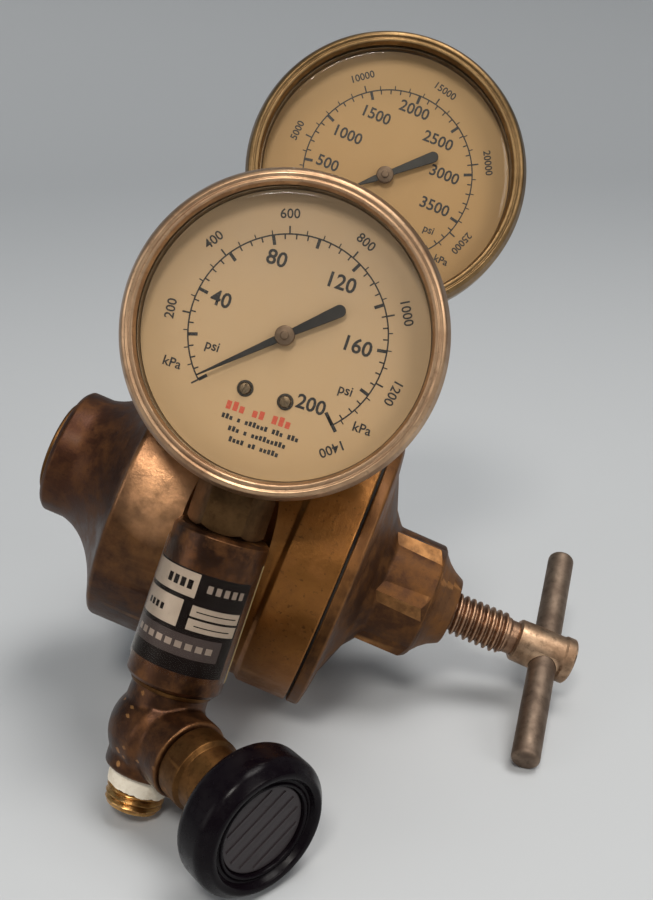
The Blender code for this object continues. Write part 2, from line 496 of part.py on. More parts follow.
def build_gauge(prefix, stem, tip, tail, rim, root, finishes):
    """One gauge: case, bezel, crystal, dial, pointer, tube, sector movement and its threaded socket."""
    here = stem @ frame_at((0, STEM_DEPTH, 0), (0, -1, 0))
    steel, works = finishes["steel"], finishes["machined"]

    case = [(CASE_BACK, 0), (CASE_BACK, CASE_RADIUS - 1 * MM), (CASE_BACK + 1 * MM, CASE_RADIUS),
            (2.5 * MM, CASE_RADIUS), (2.5 * MM, CASE_RADIUS - CASE_WALL),
            (CASE_BACK + CASE_WALL, CASE_RADIUS - CASE_WALL), (CASE_BACK + CASE_WALL, 0)]
    shell = add(f"{prefix}_case", turned_bmesh(case, FINE), finishes["case"], here, root)
    cut(shell, turned_bmesh(rod(5.3 * MM, -CASE_RADIUS - 4 * MM, -CASE_RADIUS + 5 * MM), COARSE), stem,
        root)

    bezel = [(BEZEL_BACK, CASE_RADIUS + GAP), (BEZEL_BACK, BEZEL_RADIUS - 0.7 * MM),
             (BEZEL_BACK + 1 * MM, BEZEL_RADIUS), (4.5 * MM, BEZEL_RADIUS),
             (6.2 * MM, BEZEL_RADIUS - 0.9 * MM), (6.6 * MM, BEZEL_RADIUS - 2.3 * MM),
             (6 * MM, DIAL_RADIUS + 0.8 * MM), (5 * MM, DIAL_RADIUS + 0.5 * MM),
             (5 * MM, CASE_RADIUS + GAP)]
    add(f"{prefix}_bezel", turned_bmesh(bezel, FINE), rim, here, root)

    crystal = [(2.8 * MM, 0), (2.8 * MM, CASE_RADIUS), (4.7 * MM, CASE_RADIUS), (4.7 * MM, 0)]
    add(f"{prefix}_crystal", turned_bmesh(crystal, FINE), finishes["glass"], here, root)

    dial = add(f"{prefix}_dial", turned_bmesh(ring(1.6 * MM, DIAL_RADIUS, -0.8 * MM, 0), FINE),
               finishes["dial"], here, root)
    for number, side in enumerate((-1, 1), start=1):
        spot = here @ Matrix.Translation((side * 4.5 * MM, -13.2 * MM, 0))
        cut(dial, turned_bmesh(rod(1.1 * MM, -2 * MM, 2 * MM), 10), spot, root)
        head = [(-2.1 * MM, 0), (-2.1 * MM, 0.8 * MM), (GAP, 0.8 * MM), (GAP, 1.5 * MM),
                (0.9 * MM, 1.3 * MM), (0.9 * MM, 0)]
        add(f"{prefix}_dial_screw_{number}", turned_bmesh(head, 12), finishes["machined"], spot, root)

    plate = box_bmesh((-7 * MM, -24 * MM, -3.6 * MM), (7 * MM, 4 * MM, -2.4 * MM))
    movement = add(f"{prefix}_movement_plate", plate, works, here, root)
    cut(movement, turned_bmesh(rod(1.2 * MM, -5 * MM, 0), 12), here, root)

    block = box_bmesh((-6 * MM, -28 * MM, -14.5 * MM), (6 * MM, -18 * MM, -3.9 * MM))
    socket = add(f"{prefix}_socket", block, works, here, root)
    hex_high, hex_low, shank_end = -BEZEL_RADIUS - GAP, -44.7 * MM, -55.5 * MM
    shank = [(shank_end, 0), (shank_end, 5.8 * MM), (shank_end + 1 * MM, 6.4 * MM),
             (hex_low + 1 * MM, 6.4 * MM), (hex_low + 1 * MM, 4.9 * MM), (-25 * MM, 4.9 * MM),
             (-25 * MM, 0)]
    fuse(socket, turned_bmesh(shank, COARSE), stem, root)
    fuse(socket, prism_bmesh(hexagon(GAUGE_HEX_FLATS), hex_low, hex_high), stem, root)

    tube = turned_bmesh(ring(19.6 * MM, 22.2 * MM, -12.5 * MM, -6.5 * MM), FINE)
    bourdon = add(f"{prefix}_bourdon_tube", tube, works, here, root)
    gap_sector = [(0, 0), (-40 * MM, 0), (-40 * MM, -40 * MM), (6.3 * MM, -40 * MM),
                  (6.3 * MM, -8 * MM)]
    cut(bourdon, prism_bmesh(gap_sector, -13 * MM, -5 * MM), here, root)

    spin = joint_empty(f"{prefix}_pointer_turn", here, root)
    shaft = [(-5.6 * MM, 0), (-5.6 * MM, PINION_RADIUS), (-4.2 * MM, PINION_RADIUS),
             (-4.2 * MM, 0.8 * MM), (1.1 * MM, 0.8 * MM), (1.1 * MM, 2.4 * MM), (2 * MM, 2.2 * MM),
             (2 * MM, 0)]
    pointer = add(f"{prefix}_pointer", turned_bmesh(shaft, 16), finishes["black"], here, spin)
    zero = here @ Matrix.Rotation(DIAL_START, 4, "Z")
    fuse(pointer, prism_bmesh(pointer_corners(tip, tail), 1.2 * MM, 1.7 * MM), zero, spin)

    pivot = here @ Matrix.Translation((0, -SECTOR_PIVOT, 0))
    sector_spin = joint_empty(f"{prefix}_sector_turn", pivot, root)
    reach = SECTOR_PIVOT - PINION_RADIUS - GAP
    slice_start, slice_end = math.radians(31), math.radians(99)
    sector = prism_bmesh(sector_corners(reach, slice_start, slice_end), -5.4 * MM, -4.4 * MM)
    add(f"{prefix}_sector", sector, works, pivot, sector_spin)


# ---------------------------------------------------------------- the whole regulator

def stand_on_bench(root):
    """Moves the leaning regulator so that its box stands on z = 0, centred over the origin."""
    bpy.context.view_layer.update()
    graph = bpy.context.evaluated_depsgraph_get()
    points = []
    for obj in bpy.context.scene.objects:
        if obj.type not in ("MESH", "CURVE") or obj.hide_render:
            continue
        evaluated = obj.evaluated_get(graph)
        mesh = evaluated.to_mesh()
        points += [evaluated.matrix_world @ vertex.co for vertex in mesh.vertices]
        evaluated.to_mesh_clear()
    low = [min(point[axis] for point in points) for axis in range(3)]
    high = [max(point[axis] for point in points) for axis in range(3)]
    root.location = (-(low[0] + high[0]) / 2, -(low[1] + high[1]) / 2, -low[2])


def main():
    clear_scene()
    finishes = {
        "brass": material("aged_brass", (0.34, 0.2, 0.08), 0.42, 0.9),
        "machined": material("machined_brass", (0.62, 0.42, 0.18), 0.32, 1.0),
        "bronze": material("sintered_bronze", (0.5, 0.33, 0.16), 0.7, 0.8),
        "steel": material("worn_steel", (0.5, 0.45, 0.38), 0.4, 1.0),
        "dark_steel": material("dark_steel", (0.27, 0.24, 0.21), 0.5, 0.9),
        "case": material("gauge_case", (0.36, 0.3, 0.22), 0.4, 0.9),
        "rim_steel": material("bezel_steel", (0.5, 0.45, 0.38), 0.28, 1.0),
        "rim_brass": material("bezel_brass", (0.55, 0.42, 0.2), 0.28, 1.0),
        "glass": material("crystal_glass", (0.9, 0.9, 0.88), 0.05, 0.0),
        "dial": material("dial_enamel", (0.8, 0.72, 0.56), 0.6, 0.0),
        "black": material("black_paint", (0.02, 0.02, 0.02), 0.5, 0.0),
        "rubber": material("black_rubber", (0.03, 0.025, 0.02), 0.8, 0.0),
        "plastic": material("black_plastic", (0.02, 0.018, 0.02), 0.3, 0.0),
        "label": material("label_foil", (0.6, 0.58, 0.55), 0.4, 0.2),
        "ptfe": material("white_ptfe", (0.85, 0.83, 0.8), 0.6, 0.0),
    }
    root = bpy.data.objects.new("bench_pose", None)
    bpy.context.scene.collection.objects.link(root)
    build_body(root, finishes)
    build_seat(root, finishes)
    build_adjuster(root, finishes)
    build_column(root, finishes)
    build_valve(root, finishes)
    build_inlet(root, finishes)
    build_gauge("delivery", DELIVERY_STEM, 20.5 * MM, 14 * MM, finishes["rim_steel"], root, finishes)
    build_gauge("supply", SUPPLY_STEM, 8 * MM, 14 * MM, finishes["rim_brass"], root, finishes)
    lean = Matrix.Rotation(-LEAN_BACK, 4, "X") @ Matrix.Rotation(ROLL, 4, "Y")
    root.rotation_euler = lean.to_euler()
    stand_on_bench(root)


main()
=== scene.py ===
"""Looks of the gas pressure regulator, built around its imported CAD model.

Visible pieces are rebuilt as finely turned, threaded or blended meshes in the CAD pieces' own places, and
every piece gets a procedural material. Outlines and sizes are in millimetres, and MM makes them metres.
The regulator's own frame has X along the body's axis, -Y towards the reader of the gauges and Z up the
gauge stems; the matrix BENCH carries it to the frame of the model, in which it lies on the bench.
"""

import json
import math

import bmesh
import bpy
from mathutils import Matrix, Vector, noise


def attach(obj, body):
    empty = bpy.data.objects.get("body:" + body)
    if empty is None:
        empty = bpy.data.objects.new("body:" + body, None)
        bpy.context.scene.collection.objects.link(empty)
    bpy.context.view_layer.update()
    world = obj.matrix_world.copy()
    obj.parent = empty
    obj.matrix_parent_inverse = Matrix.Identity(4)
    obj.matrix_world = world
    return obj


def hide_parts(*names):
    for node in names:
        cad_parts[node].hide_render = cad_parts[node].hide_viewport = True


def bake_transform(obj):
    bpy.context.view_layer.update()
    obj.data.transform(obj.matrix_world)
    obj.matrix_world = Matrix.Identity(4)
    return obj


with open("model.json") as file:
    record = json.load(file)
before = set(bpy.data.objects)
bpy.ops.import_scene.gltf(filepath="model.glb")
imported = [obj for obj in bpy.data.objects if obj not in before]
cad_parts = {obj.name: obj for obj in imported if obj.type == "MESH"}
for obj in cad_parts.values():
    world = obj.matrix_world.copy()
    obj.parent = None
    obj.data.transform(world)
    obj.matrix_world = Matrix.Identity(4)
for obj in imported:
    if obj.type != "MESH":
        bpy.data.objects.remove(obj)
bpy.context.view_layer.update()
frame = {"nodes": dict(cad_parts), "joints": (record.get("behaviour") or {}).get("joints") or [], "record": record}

MM = 0.001
OWN_PLACE = "own_place"
JOINTS = {joint["name"]: joint for joint in frame["joints"]}

# ---- sizes and frames, as in the CAD model

LEAN_BACK = math.radians(18.2)
ROLL = math.radians(23.0)
COLUMN_LEAN = math.radians(-4.0)
COLUMN_PLACE = (-26.9, -41.5, -14.0)
COLUMN_RADIUS = 11
VALVE_Z = -44.8
VALVE_TURN = math.radians(-44)
VALVE_DROP = math.radians(4)
INLET_X = -27.8
INLET_DROP = math.radians(12)
NUT_FLATS = 28.6
STEM_DEPTH = -10
DELIVERY_HEIGHT = 47.3
SUPPLY_PLACE = (-27.8, 3.3, 95.5)
BODY_RADIUS = 36
FLANGE_RADIUS = 37
BONNET_FLATS = 29
TEE_X = 57.5
TEE_TURN = math.radians(49)
TEE_LENGTH = 68.5
TEE_RADIUS = 3.5
SCREW_RADIUS = 5.5
SCREW_PITCH = 25.4 / 14
SCREW_IN = -6.34
POPPET_OPEN = -1.0
NIPPLE_RADIUS = 6.85
NIPPLE_END = -62.8
PIPE_PITCH = 25.4 / 18
PIPE_TAPER = 1 / 32
CASE_RADIUS = 32.2
BEZEL_RADIUS = 34.8
DIAL_RADIUS = 30.9
SOCKET_FLATS = 15.6
KNOB_RADIUS = 15.6
SMALL_STEPS, MIDDLE_STEPS, LARGE_STEPS = 48, 64, 144

# ---- print on the dials and the label

DIAL_START = 225
DIAL_SWEEP = 270
KPA_PER_PSI = 6.8948
PRINT_OFFSET = (0.45, 0.4, 0)
POINTER_OVERRUN = 2.5
INK_HEIGHT = 0.05
LABEL_TURN = 17


def shift(x, y, z):
    return Matrix.Translation(Vector((x, y, z)) * MM)


def turn_z(degrees):
    return Matrix.Rotation(math.radians(degrees), 4, "Z")


def frame_at(point, z_axis, x_hint=(1, 0, 0)):
    """The matrix that carries a piece's own z axis to z_axis, and its origin to point (mm)."""
    z = Vector(z_axis).normalized()
    x = Vector(x_hint)
    x = (x - z * x.dot(z)).normalized()
    return shift(*point) @ Matrix((x, z.cross(x), z)).transposed().to_4x4()


BENCH = (Matrix.Translation(JOINTS["screw_turn"]["pos_m"]) @ Matrix.Rotation(-LEAN_BACK, 4, "X")
         @ Matrix.Rotation(ROLL, 4, "Y"))
ALONG_X = BENCH @ frame_at((0, 0, 0), (1, 0, 0), (0, 1, 0))
COLUMN = (BENCH @ shift(*COLUMN_PLACE) @ Matrix.Rotation(COLUMN_LEAN, 4, "Y")
          @ shift(0, 0, -COLUMN_PLACE[2]))
VALVE_AXIS = (math.cos(VALVE_TURN), math.sin(VALVE_TURN), -math.sin(VALVE_DROP))
VALVE = COLUMN @ frame_at((0, 0, VALVE_Z), VALVE_AXIS, (0, 0, 1))
INLET = BENCH @ frame_at((INLET_X, 0, 0), (0, math.cos(INLET_DROP), -math.sin(INLET_DROP)))
TEE = BENCH @ frame_at((TEE_X, 0, 0), (0, math.sin(TEE_TURN), math.cos(TEE_TURN)))
STEMS = {"delivery": COLUMN @ shift(0, 0, DELIVERY_HEIGHT), "supply": BENCH @ shift(*SUPPLY_PLACE)}


def gauge_frame(prefix):
    """The dial's face is at z = 0, with z towards the reader and y up."""
    return STEMS[prefix] @ frame_at((0, STEM_DEPTH, 0), (0, -1, 0))


# ---- materials

class Paint:
    """A Principled material, and short calls that add nodes to it. Scales are per metre.

    Patterns follow a piece's own frame, which settle() stores, or with own=False the object's coordinates.
    """

    def __init__(self, name, colour, roughness, metallic, own=True, **sockets):
        self.material = bpy.data.materials.new(name)
        self.material.use_nodes = True
        self.material.diffuse_color = (*colour, 1)
        self.tree = self.material.node_tree
        self.shader = self.tree.nodes["Principled BSDF"]
        sockets |= {"Base Color": colour, "Roughness": roughness, "Metallic": metallic}
        for socket, value in sockets.items():
            self.feed(self.shader.inputs[socket.replace("_", " ")], value)
        if own:
            self.place = self.node("ShaderNodeAttribute", {"attribute_name": OWN_PLACE}).outputs["Vector"]
        else:
            self.place = self.node("ShaderNodeTexCoord").outputs["Object"]

    def node(self, kind, settings=None, **inputs):
        made = self.tree.nodes.new(kind)
        for key, value in (settings or {}).items():
            setattr(made, key, value)
        for key, value in inputs.items():
            self.feed(made.inputs[key.replace("_", " ")], value)
        return made

    def feed(self, socket, value):
        if isinstance(value, bpy.types.NodeSocket):
            self.tree.links.new(value, socket)
        elif isinstance(value, tuple) and len(value) == 3 and socket.type == "RGBA":
            socket.default_value = (*value, 1)
        else:
            socket.default_value = value

    def noise(self, scale, detail=4, roughness=0.55, stretch=None, distortion=0.0):
        place = self.place
        if stretch:
            place = self.node("ShaderNodeMapping", Vector=place, Scale=stretch).outputs["Vector"]
        return self.node("ShaderNodeTexNoise", Vector=place, Scale=scale, Detail=detail,
                         Roughness=roughness, Distortion=distortion).outputs["Fac"]

    def ramp(self, value, low, high):
        """Maps low[0]..high[0] to low[1]..high[1], held beyond both ends."""
        return self.node("ShaderNodeMapRange", Value=value, From_Min=low[0], From_Max=high[0],
                         To_Min=low[1], To_Max=high[1]).outputs["Result"]

    def patches(self, start, full, *noise_settings, **more):
        """A mask from noise: 0 where the noise is below start, and 1 where it is above full."""
        return self.ramp(self.noise(*noise_settings, **more), (start, 0.0), (full, 1.0))

    def edges(self):
        """A mask of raised edges and corners."""
        point = self.node("ShaderNodeNewGeometry").outputs["Pointiness"]
        return self.ramp(point, (0.515, 0.0), (0.58, 1.0))

    def grooves(self):
        """A mask of sunk corners."""
        point = self.node("ShaderNodeNewGeometry").outputs["Pointiness"]
        return self.ramp(point, (0.42, 1.0), (0.485, 0.0))

    def maths(self, operation, a, b):
        made = self.tree.nodes.new("ShaderNodeMath")
        made.operation = operation
        self.feed(made.inputs[0], a)
        self.feed(made.inputs[1], b)
        return made.outputs["Value"]

    def times(self, a, b):
        return self.maths("MULTIPLY", a, b)

    def measure(self, operation, other=None):
        """The length of the place, or its distance to another."""
        made = self.node("ShaderNodeVectorMath", {"operation": operation})
        self.feed(made.inputs[0], self.place)
        if other:
            made.inputs[1].default_value = other
        return made.outputs["Value"]

    def blend(self, share, a, b):
        """Colour a, turning to colour b where share is 1."""
        made = self.node("ShaderNodeMix", {"data_type": "RGBA"}, Factor=share)
        colours = [socket for socket in made.inputs if socket.type == "RGBA"]
        self.feed(colours[0], a)
        self.feed(colours[1], b)
        return next(socket for socket in made.outputs if socket.type == "RGBA")

    def stain(self, tone, mask, strength, colour):
        """The tone, turning to colour by strength where the mask is 1."""
        return self.blend(self.times(mask, strength), tone, colour)

    def colour(self, value):
        self.feed(self.shader.inputs["Base Color"], value)

    def rough(self, value):
        self.feed(self.shader.inputs["Roughness"], value)

    def bump(self, height, strength, distance):
        """Adds a bump on top of any that the material already has. Distance is in metres."""
        before = self.shader.inputs["Normal"].links
        made = self.node("ShaderNodeBump", Height=height, Strength=strength, Distance=distance)
        if before:
            self.tree.links.new(before[0].from_socket, made.inputs["Normal"])
        self.tree.links.new(made.outputs["Normal"], self.shader.inputs["Normal"])


def scaled(colour, factor):
    return tuple(min(1, part * factor) for part in colour)


def aged_brass(name, dark, mid, warm, roughness=0.4, shades=(), highlight_patch=None):
    """Brown patina that varies in patches, rubbed to warm metal on its edges, with a fine cast grain.

    Each of shades is (start, end, colour, share, duller): between the two heights on the piece's own z, in
    metres, the metal turns to colour. The highlight patch is (place, reach, colour): there, a patch polished
    by handling is painted bright as a highlight.
    """
    worn, dirt = (0.46, 0.22, 0.075), (0.035, 0.02, 0.01)
    paint = Paint(name, mid, roughness, 0.85, Coat_Weight=0.07, Coat_Roughness=0.3)
    patches = paint.patches(0.36, 0.66, 38, 5, 0.6, distortion=0.4)
    spots = paint.patches(0.42, 0.66, 190, 6, 0.65)
    specks = paint.patches(0.60, 0.70, 900, 3, 0.6)
    dullness = paint.ramp(spots, (0, roughness - 0.07), (1, roughness + 0.12))
    tone = paint.blend(patches, dark, mid)
    height = paint.node("ShaderNodeSeparateXYZ", Vector=paint.place).outputs["Z"]
    for start, end, colour, share, duller in shades:
        along = paint.ramp(height, (start, 0.0), (end, 1.0))
        tone = paint.stain(tone, along, share, colour)
        dullness = paint.maths("ADD", dullness, paint.times(along, duller))
    tone = paint.stain(tone, spots, 0.42, warm)
    tone = paint.stain(tone, specks, 0.5, dark)
    # A patch polished by handling and painted bright as a highlight, and a little glossier there.
    if highlight_patch:
        place, reach, colour = highlight_patch
        away = paint.measure("DISTANCE", place)
        ragged = paint.maths("ADD", away, paint.times(patches, -0.3 * reach))
        polished = paint.ramp(ragged, (0.15 * reach, 1.0), (reach, 0.0))
        tone = paint.stain(tone, polished, paint.ramp(spots, (0, 0.65), (1, 1.0)), colour)
        dullness = paint.maths("SUBTRACT", dullness, paint.times(polished, 0.05))
    rubbed = paint.ramp(paint.noise(320, 4, 0.6), (0.35, 0.35), (0.6, 1.0))
    tone = paint.stain(tone, paint.times(paint.edges(), rubbed), 0.75, worn)
    tone = paint.stain(tone, paint.grooves(), 0.75, dirt)
    paint.colour(tone)
    paint.rough(dullness)
    paint.bump(paint.noise(1400, 4, 0.6), 0.16, 0.0003)
    paint.bump(paint.noise(2200, 3, 0.6, stretch=(0.12, 0.12, 1.0)), 0.10, 0.0002)
    paint.bump(paint.noise(160, 3, 0.5), 0.12, 0.0012)
    return paint.material


def turned_metal(name, dark, light, roughness, wear=0.4, grime=0.5):
    """Lathe-turned metal: fine lines round the piece's own z axis, dulled in patches."""
    paint = Paint(name, light, roughness, 1.0)
    patches = paint.patches(0.36, 0.66, 140, 5, 0.6)
    tone = paint.blend(patches, dark, light)
    tone = paint.stain(tone, paint.patches(0.52, 0.68, 620, 4, 0.65), grime, scaled(dark, 0.35))
    tone = paint.stain(tone, paint.edges(), wear, scaled(light, 1.5))
    tone = paint.stain(tone, paint.grooves(), 0.8, scaled(dark, 0.16))
    paint.colour(tone)
    paint.rough(paint.ramp(patches, (0, roughness + 0.14), (1, roughness)))
    paint.bump(paint.noise(2600, 2, 0.5, stretch=(0.02, 0.02, 1.0)), 0.12, 0.0002)
    paint.bump(paint.noise(420, 3, 0.5), 0.10, 0.0005)
    return paint.material


def spun_metal(name, dark, light, roughness):
    """A bezel: polished, with brushing round its axis, hazed and scuffed."""
    paint = Paint(name, light, roughness, 1.0)
    haze = paint.patches(0.36, 0.66, 75, 5, 0.6)
    tone = paint.blend(haze, dark, light)
    tone = paint.stain(tone, paint.patches(0.56, 0.70, 900, 5, 0.7), 0.5, scaled(dark, 0.5))
    tone = paint.stain(tone, paint.grooves(), 0.8, scaled(dark, 0.2))
    tone = paint.stain(tone, paint.edges(), 0.45, scaled(light, 1.45))
    paint.colour(tone)
    paint.rough(paint.ramp(haze, (0, roughness + 0.16), (1, roughness)))
    paint.bump(paint.noise(3000, 2, 0.5, stretch=(0.03, 0.03, 1.0)), 0.08, 0.0001)
    paint.bump(paint.noise(260, 3, 0.5), 0.08, 0.0005)
    return paint.material


def dial_enamel(name, upper_tone, yellowed_and_shaded):
    """Cream enamel, toned from top to bottom by yellowing and painted light and shade, darker at the rim, faintly
    foxed.
    """
    paint = Paint(name, upper_tone, 0.55, 0)
    height = paint.node("ShaderNodeSeparateXYZ", Vector=paint.place).outputs["Y"]
    # From top to bottom: partly yellowing, partly painted light and shade.
    tone = paint.blend(paint.ramp(height, (0.022, 0.0), (-0.026, 1.0)), upper_tone, yellowed_and_shaded)
    rim = paint.ramp(paint.measure("LENGTH"), (0.023, 0.0), (0.031, 1.0))
    tone = paint.stain(tone, rim, 0.12, (0.40, 0.27, 0.13))
    tone = paint.stain(tone, paint.patches(0.4, 0.7, 120, 5, 0.6), 0.18, (0.50, 0.33, 0.17))
    tone = paint.stain(tone, paint.patches(0.70, 0.76, 1500, 2, 0.5), 0.55, (0.30, 0.18, 0.09))
    paint.colour(tone)
    paint.bump(paint.noise(2600, 2, 0.5), 0.05, 0.0001)
    return paint.material


def ink(name, colour):
    """Printing ink, a little uneven."""
    paint = Paint(name, colour, 0.5, 0)
    thin = paint.ramp(paint.noise(2400, 3, 0.6), (0.5, 0.0), (0.75, 0.5))
    paint.colour(paint.blend(thin, colour, tuple(part + 0.12 for part in colour)))
    return paint.material


def plastic(name, colour, roughness, gloss=0.5, dusty=0.3):
    """Moulded phenolic: glossy, with fine scratches and a dusty film."""
    paint = Paint(name, colour, roughness, 0, Specular_IOR_Level=gloss)
    dust = paint.patches(0.45, 0.75, 180, 5, 0.65)
    scratches = paint.patches(0.58, 0.72, 700, 6, 0.7, stretch=(1, 0.08, 1))
    paint.colour(paint.stain(colour, dust, dusty, (0.045, 0.038, 0.038)))
    paint.rough(paint.ramp(paint.maths("ADD", dust, scratches), (0, roughness), (1.4, roughness + 0.35)))
    paint.bump(paint.noise(900, 4, 0.6), 0.06, 0.0002)
    return paint.material


def ptfe():
    """Thread-seal tape: white, in thin overlapping layers, picked up with grime."""
    paint = Paint("ptfe_tape", (0.86, 0.77, 0.62), 0.6, 0)
    dirt = paint.patches(0.50, 0.72, 420, 5, 0.65)
    paint.colour(paint.stain((0.88, 0.79, 0.64), dirt, 0.55, (0.56, 0.43, 0.27)))
    paint.bump(paint.noise(1100, 3, 0.6, stretch=(0.15, 0.15, 1.0)), 0.35, 0.0004)
    return paint.material


def rubber():
    """Black rubber with a faint, uneven grain."""
    paint = Paint("rubber", (0.03, 0.026, 0.022), 0.8, 0)
    paint.colour(paint.blend(paint.noise(600, 4), (0.022, 0.018, 0.015), (0.05, 0.042, 0.035)))
    paint.bump(paint.noise(1800, 3), 0.2, 0.0002)
    return paint.material


def clear_pane(name, tint, roughness, least, most):
    """A thin clear sheet, whose reflection grows from least, head on, to most at a slant."""
    paint = Paint(name, tint, roughness, 0, own=False)
    paint.material.diffuse_color = (*tint, 0.2)
    slant = paint.node("ShaderNodeLayerWeight", Blend=0.5).outputs["Facing"]
    share = paint.ramp(paint.maths("POWER", slant, 5), (0, least), (1, most))
    mix = paint.node("ShaderNodeMixShader", Fac=share)
    paint.feed(mix.inputs[1], paint.node("ShaderNodeBsdfTransparent", Color=tint).outputs["BSDF"])
    paint.feed(mix.inputs[2], paint.node("ShaderNodeBsdfGlossy", Roughness=roughness).outputs["BSDF"])
    paint.feed(paint.tree.nodes["Material Output"].inputs["Surface"], mix.outputs["Shader"])
    paint.tree.nodes.remove(paint.shader)
    return paint.material


# Shades and highlight patches are on the pieces' own axes, in metres.
FINISHES = {
    "body": aged_brass("body_brass", (0.034, 0.012, 0.005), (0.072, 0.027, 0.009), (0.18, 0.072, 0.021),
                       shades=((-0.050, -0.064, (0.052, 0.017, 0.007), 0.75, 0.12),
                               # Painted light: the drum turns warmer and lighter towards the flange, where the
                               # light falls.
                               (-0.036, -0.020, (0.37, 0.145, 0.029), 0.75, 0.0)),
                       # A polished patch on the drum, painted bright as a highlight.
                       highlight_patch=((-0.0358, 0.0035, -0.0450), 0.0115, (0.88, 0.46, 0.23))),
    "boss": aged_brass("boss_brass", (0.070, 0.026, 0.008), (0.140, 0.055, 0.014), (0.26, 0.105, 0.026)),
    "bonnet": aged_brass("bonnet_brass", (0.070, 0.028, 0.009), (0.150, 0.060, 0.018), (0.32, 0.135, 0.036),
                         roughness=0.5, shades=((0.003, 0.006, (0.056, 0.022, 0.009), 0.82, 0.10),
                                                (0.0235, 0.0255, (0.17, 0.080, 0.034), 0.75, 0.0))),
    "valve": aged_brass("valve_brass", (0.031, 0.012, 0.006), (0.078, 0.030, 0.011), (0.22, 0.087, 0.025),
                        # Painted shade: darker towards the dome's back end, on the side away from the light.
                        shades=((0.006, -0.007, (0.024, 0.009, 0.005), 0.8, 0.05),)),
    "column": aged_brass("column_brass", (0.036, 0.0145, 0.0068), (0.092, 0.036, 0.0135), (0.3, 0.12, 0.034),
                         # Painted shadow of the gauge above: the column darkens towards its top.
                         shades=((-0.011, -0.003, (0.020, 0.008, 0.004), 0.7, 0.0),)),
    "gland": turned_metal("gland_brass", (0.070, 0.031, 0.011), (0.150, 0.071, 0.023), 0.42),
    "socket": turned_metal("socket_brass", (0.050, 0.026, 0.011), (0.115, 0.062, 0.026), 0.42),
    "brass": turned_metal("bright_brass", (0.34, 0.17, 0.055), (0.62, 0.36, 0.13), 0.24),
    "screw": turned_metal("screw_steel", (0.19, 0.10, 0.06), (0.40, 0.25, 0.16), 0.36, wear=0.7),
    "hub": turned_metal("hub_brass", (0.22, 0.135, 0.082), (0.52, 0.35, 0.225), 0.36, wear=0.9),
    "tee": turned_metal("tee_steel", (0.14, 0.100, 0.075), (0.27, 0.200, 0.148), 0.48, wear=0.5, grime=0.35),
    "steel": turned_metal("plain_steel", (0.22, 0.20, 0.18), (0.40, 0.37, 0.34), 0.32),
    "case": spun_metal("case_metal", (0.16, 0.115, 0.075), (0.28, 0.22, 0.155), 0.34),
    "delivery_bezel": spun_metal("bezel_steel", (0.28, 0.165, 0.095), (0.54, 0.355, 0.215), 0.31),
    "supply_bezel": spun_metal("bezel_brass", (0.13, 0.078, 0.034), (0.27, 0.170, 0.078), 0.31),
    "crystal": clear_pane("crystal_glass", (0.98, 0.965, 0.93), 0.08, 0.02, 0.7),
    "film": clear_pane("tape_film", (0.99, 0.965, 0.93), 0.34, 0.004, 0.5),
    # The tape's cut edge as a yellowish strip: the edge, with a painted highlight line.
    "film_edge_highlight": plastic("tape_edge_highlight", (0.36, 0.27, 0.12), 0.4),
    # The dials' colours are darkened throughout: painted shade of the case and the crystal.
    "delivery_dial": dial_enamel("dial_cream", (0.465, 0.338, 0.222), (0.535, 0.372, 0.216)),
    "supply_dial": dial_enamel("dial_yellowed", (0.465, 0.30, 0.139), (0.41, 0.245, 0.102)),
    "ink": ink("black_ink", (0.018, 0.017, 0.02)),
    "red": ink("red_ink", (0.55, 0.09, 0.05)),
    "pointer": plastic("pointer_black", (0.012, 0.012, 0.014), 0.42),
    "knob": plastic("knob_black", (0.0030, 0.0016, 0.0028), 0.22, gloss=0.09, dusty=0.07),
    "disc": plastic("disc_grey", (0.026, 0.020, 0.022), 0.36, gloss=0.3),
    "label_black": plastic("label_black", (0.007, 0.005, 0.005), 0.3, gloss=0.05, dusty=0.04),
    "label_silver": spun_metal("label_silver", (0.30, 0.26, 0.23), (0.50, 0.44, 0.39), 0.5),
    "label_grey": plastic("label_grey", (0.055, 0.044, 0.046), 0.35, gloss=0.1),
    "label_dull": spun_metal("label_dull", (0.22, 0.18, 0.16), (0.36, 0.31, 0.28), 0.45),
    "ptfe": ptfe(),
    "rubber": rubber(),
}

# ---- camera, floor and lights

def added(name, data):
    """A new object in the scene."""
    obj = bpy.data.objects.new(name, data)
    bpy.context.scene.collection.objects.link(obj)
    return obj


def view_camera():
    """The photograph's viewpoint, given in the regulator's own frame."""
    place = (-8.9, -284.9, 38.0)
    right = Vector((0.9212, 0.0352, 0.3875)).normalized()
    ahead = Vector((-0.0207, 0.9989, -0.0416))
    ahead = (ahead - right * ahead.dot(right)).normalized()
    turn = Matrix((right, right.cross(ahead), -ahead)).transposed().to_4x4()
    data = bpy.data.cameras.new("camera")
    data.sensor_fit = "VERTICAL"
    data.sensor_height = 36
    data.lens = 44
    data.clip_start = 0.01
    camera = added("camera", data)
    camera.matrix_world = BENCH @ shift(*place) @ turn
    bpy.context.scene.camera = camera


def light(name, kind, watts, colour, direction, place=(0, 0, 0)):
    """A light at a place in metres that shines in a direction."""
    data = bpy.data.lights.new(name, kind)
    data.energy = watts
    data.color = colour
    lamp = added(name, data)
    lamp.location = place
    lamp.rotation_euler = Vector(direction).to_track_quat("-Z", "Y").to_euler()
    return data


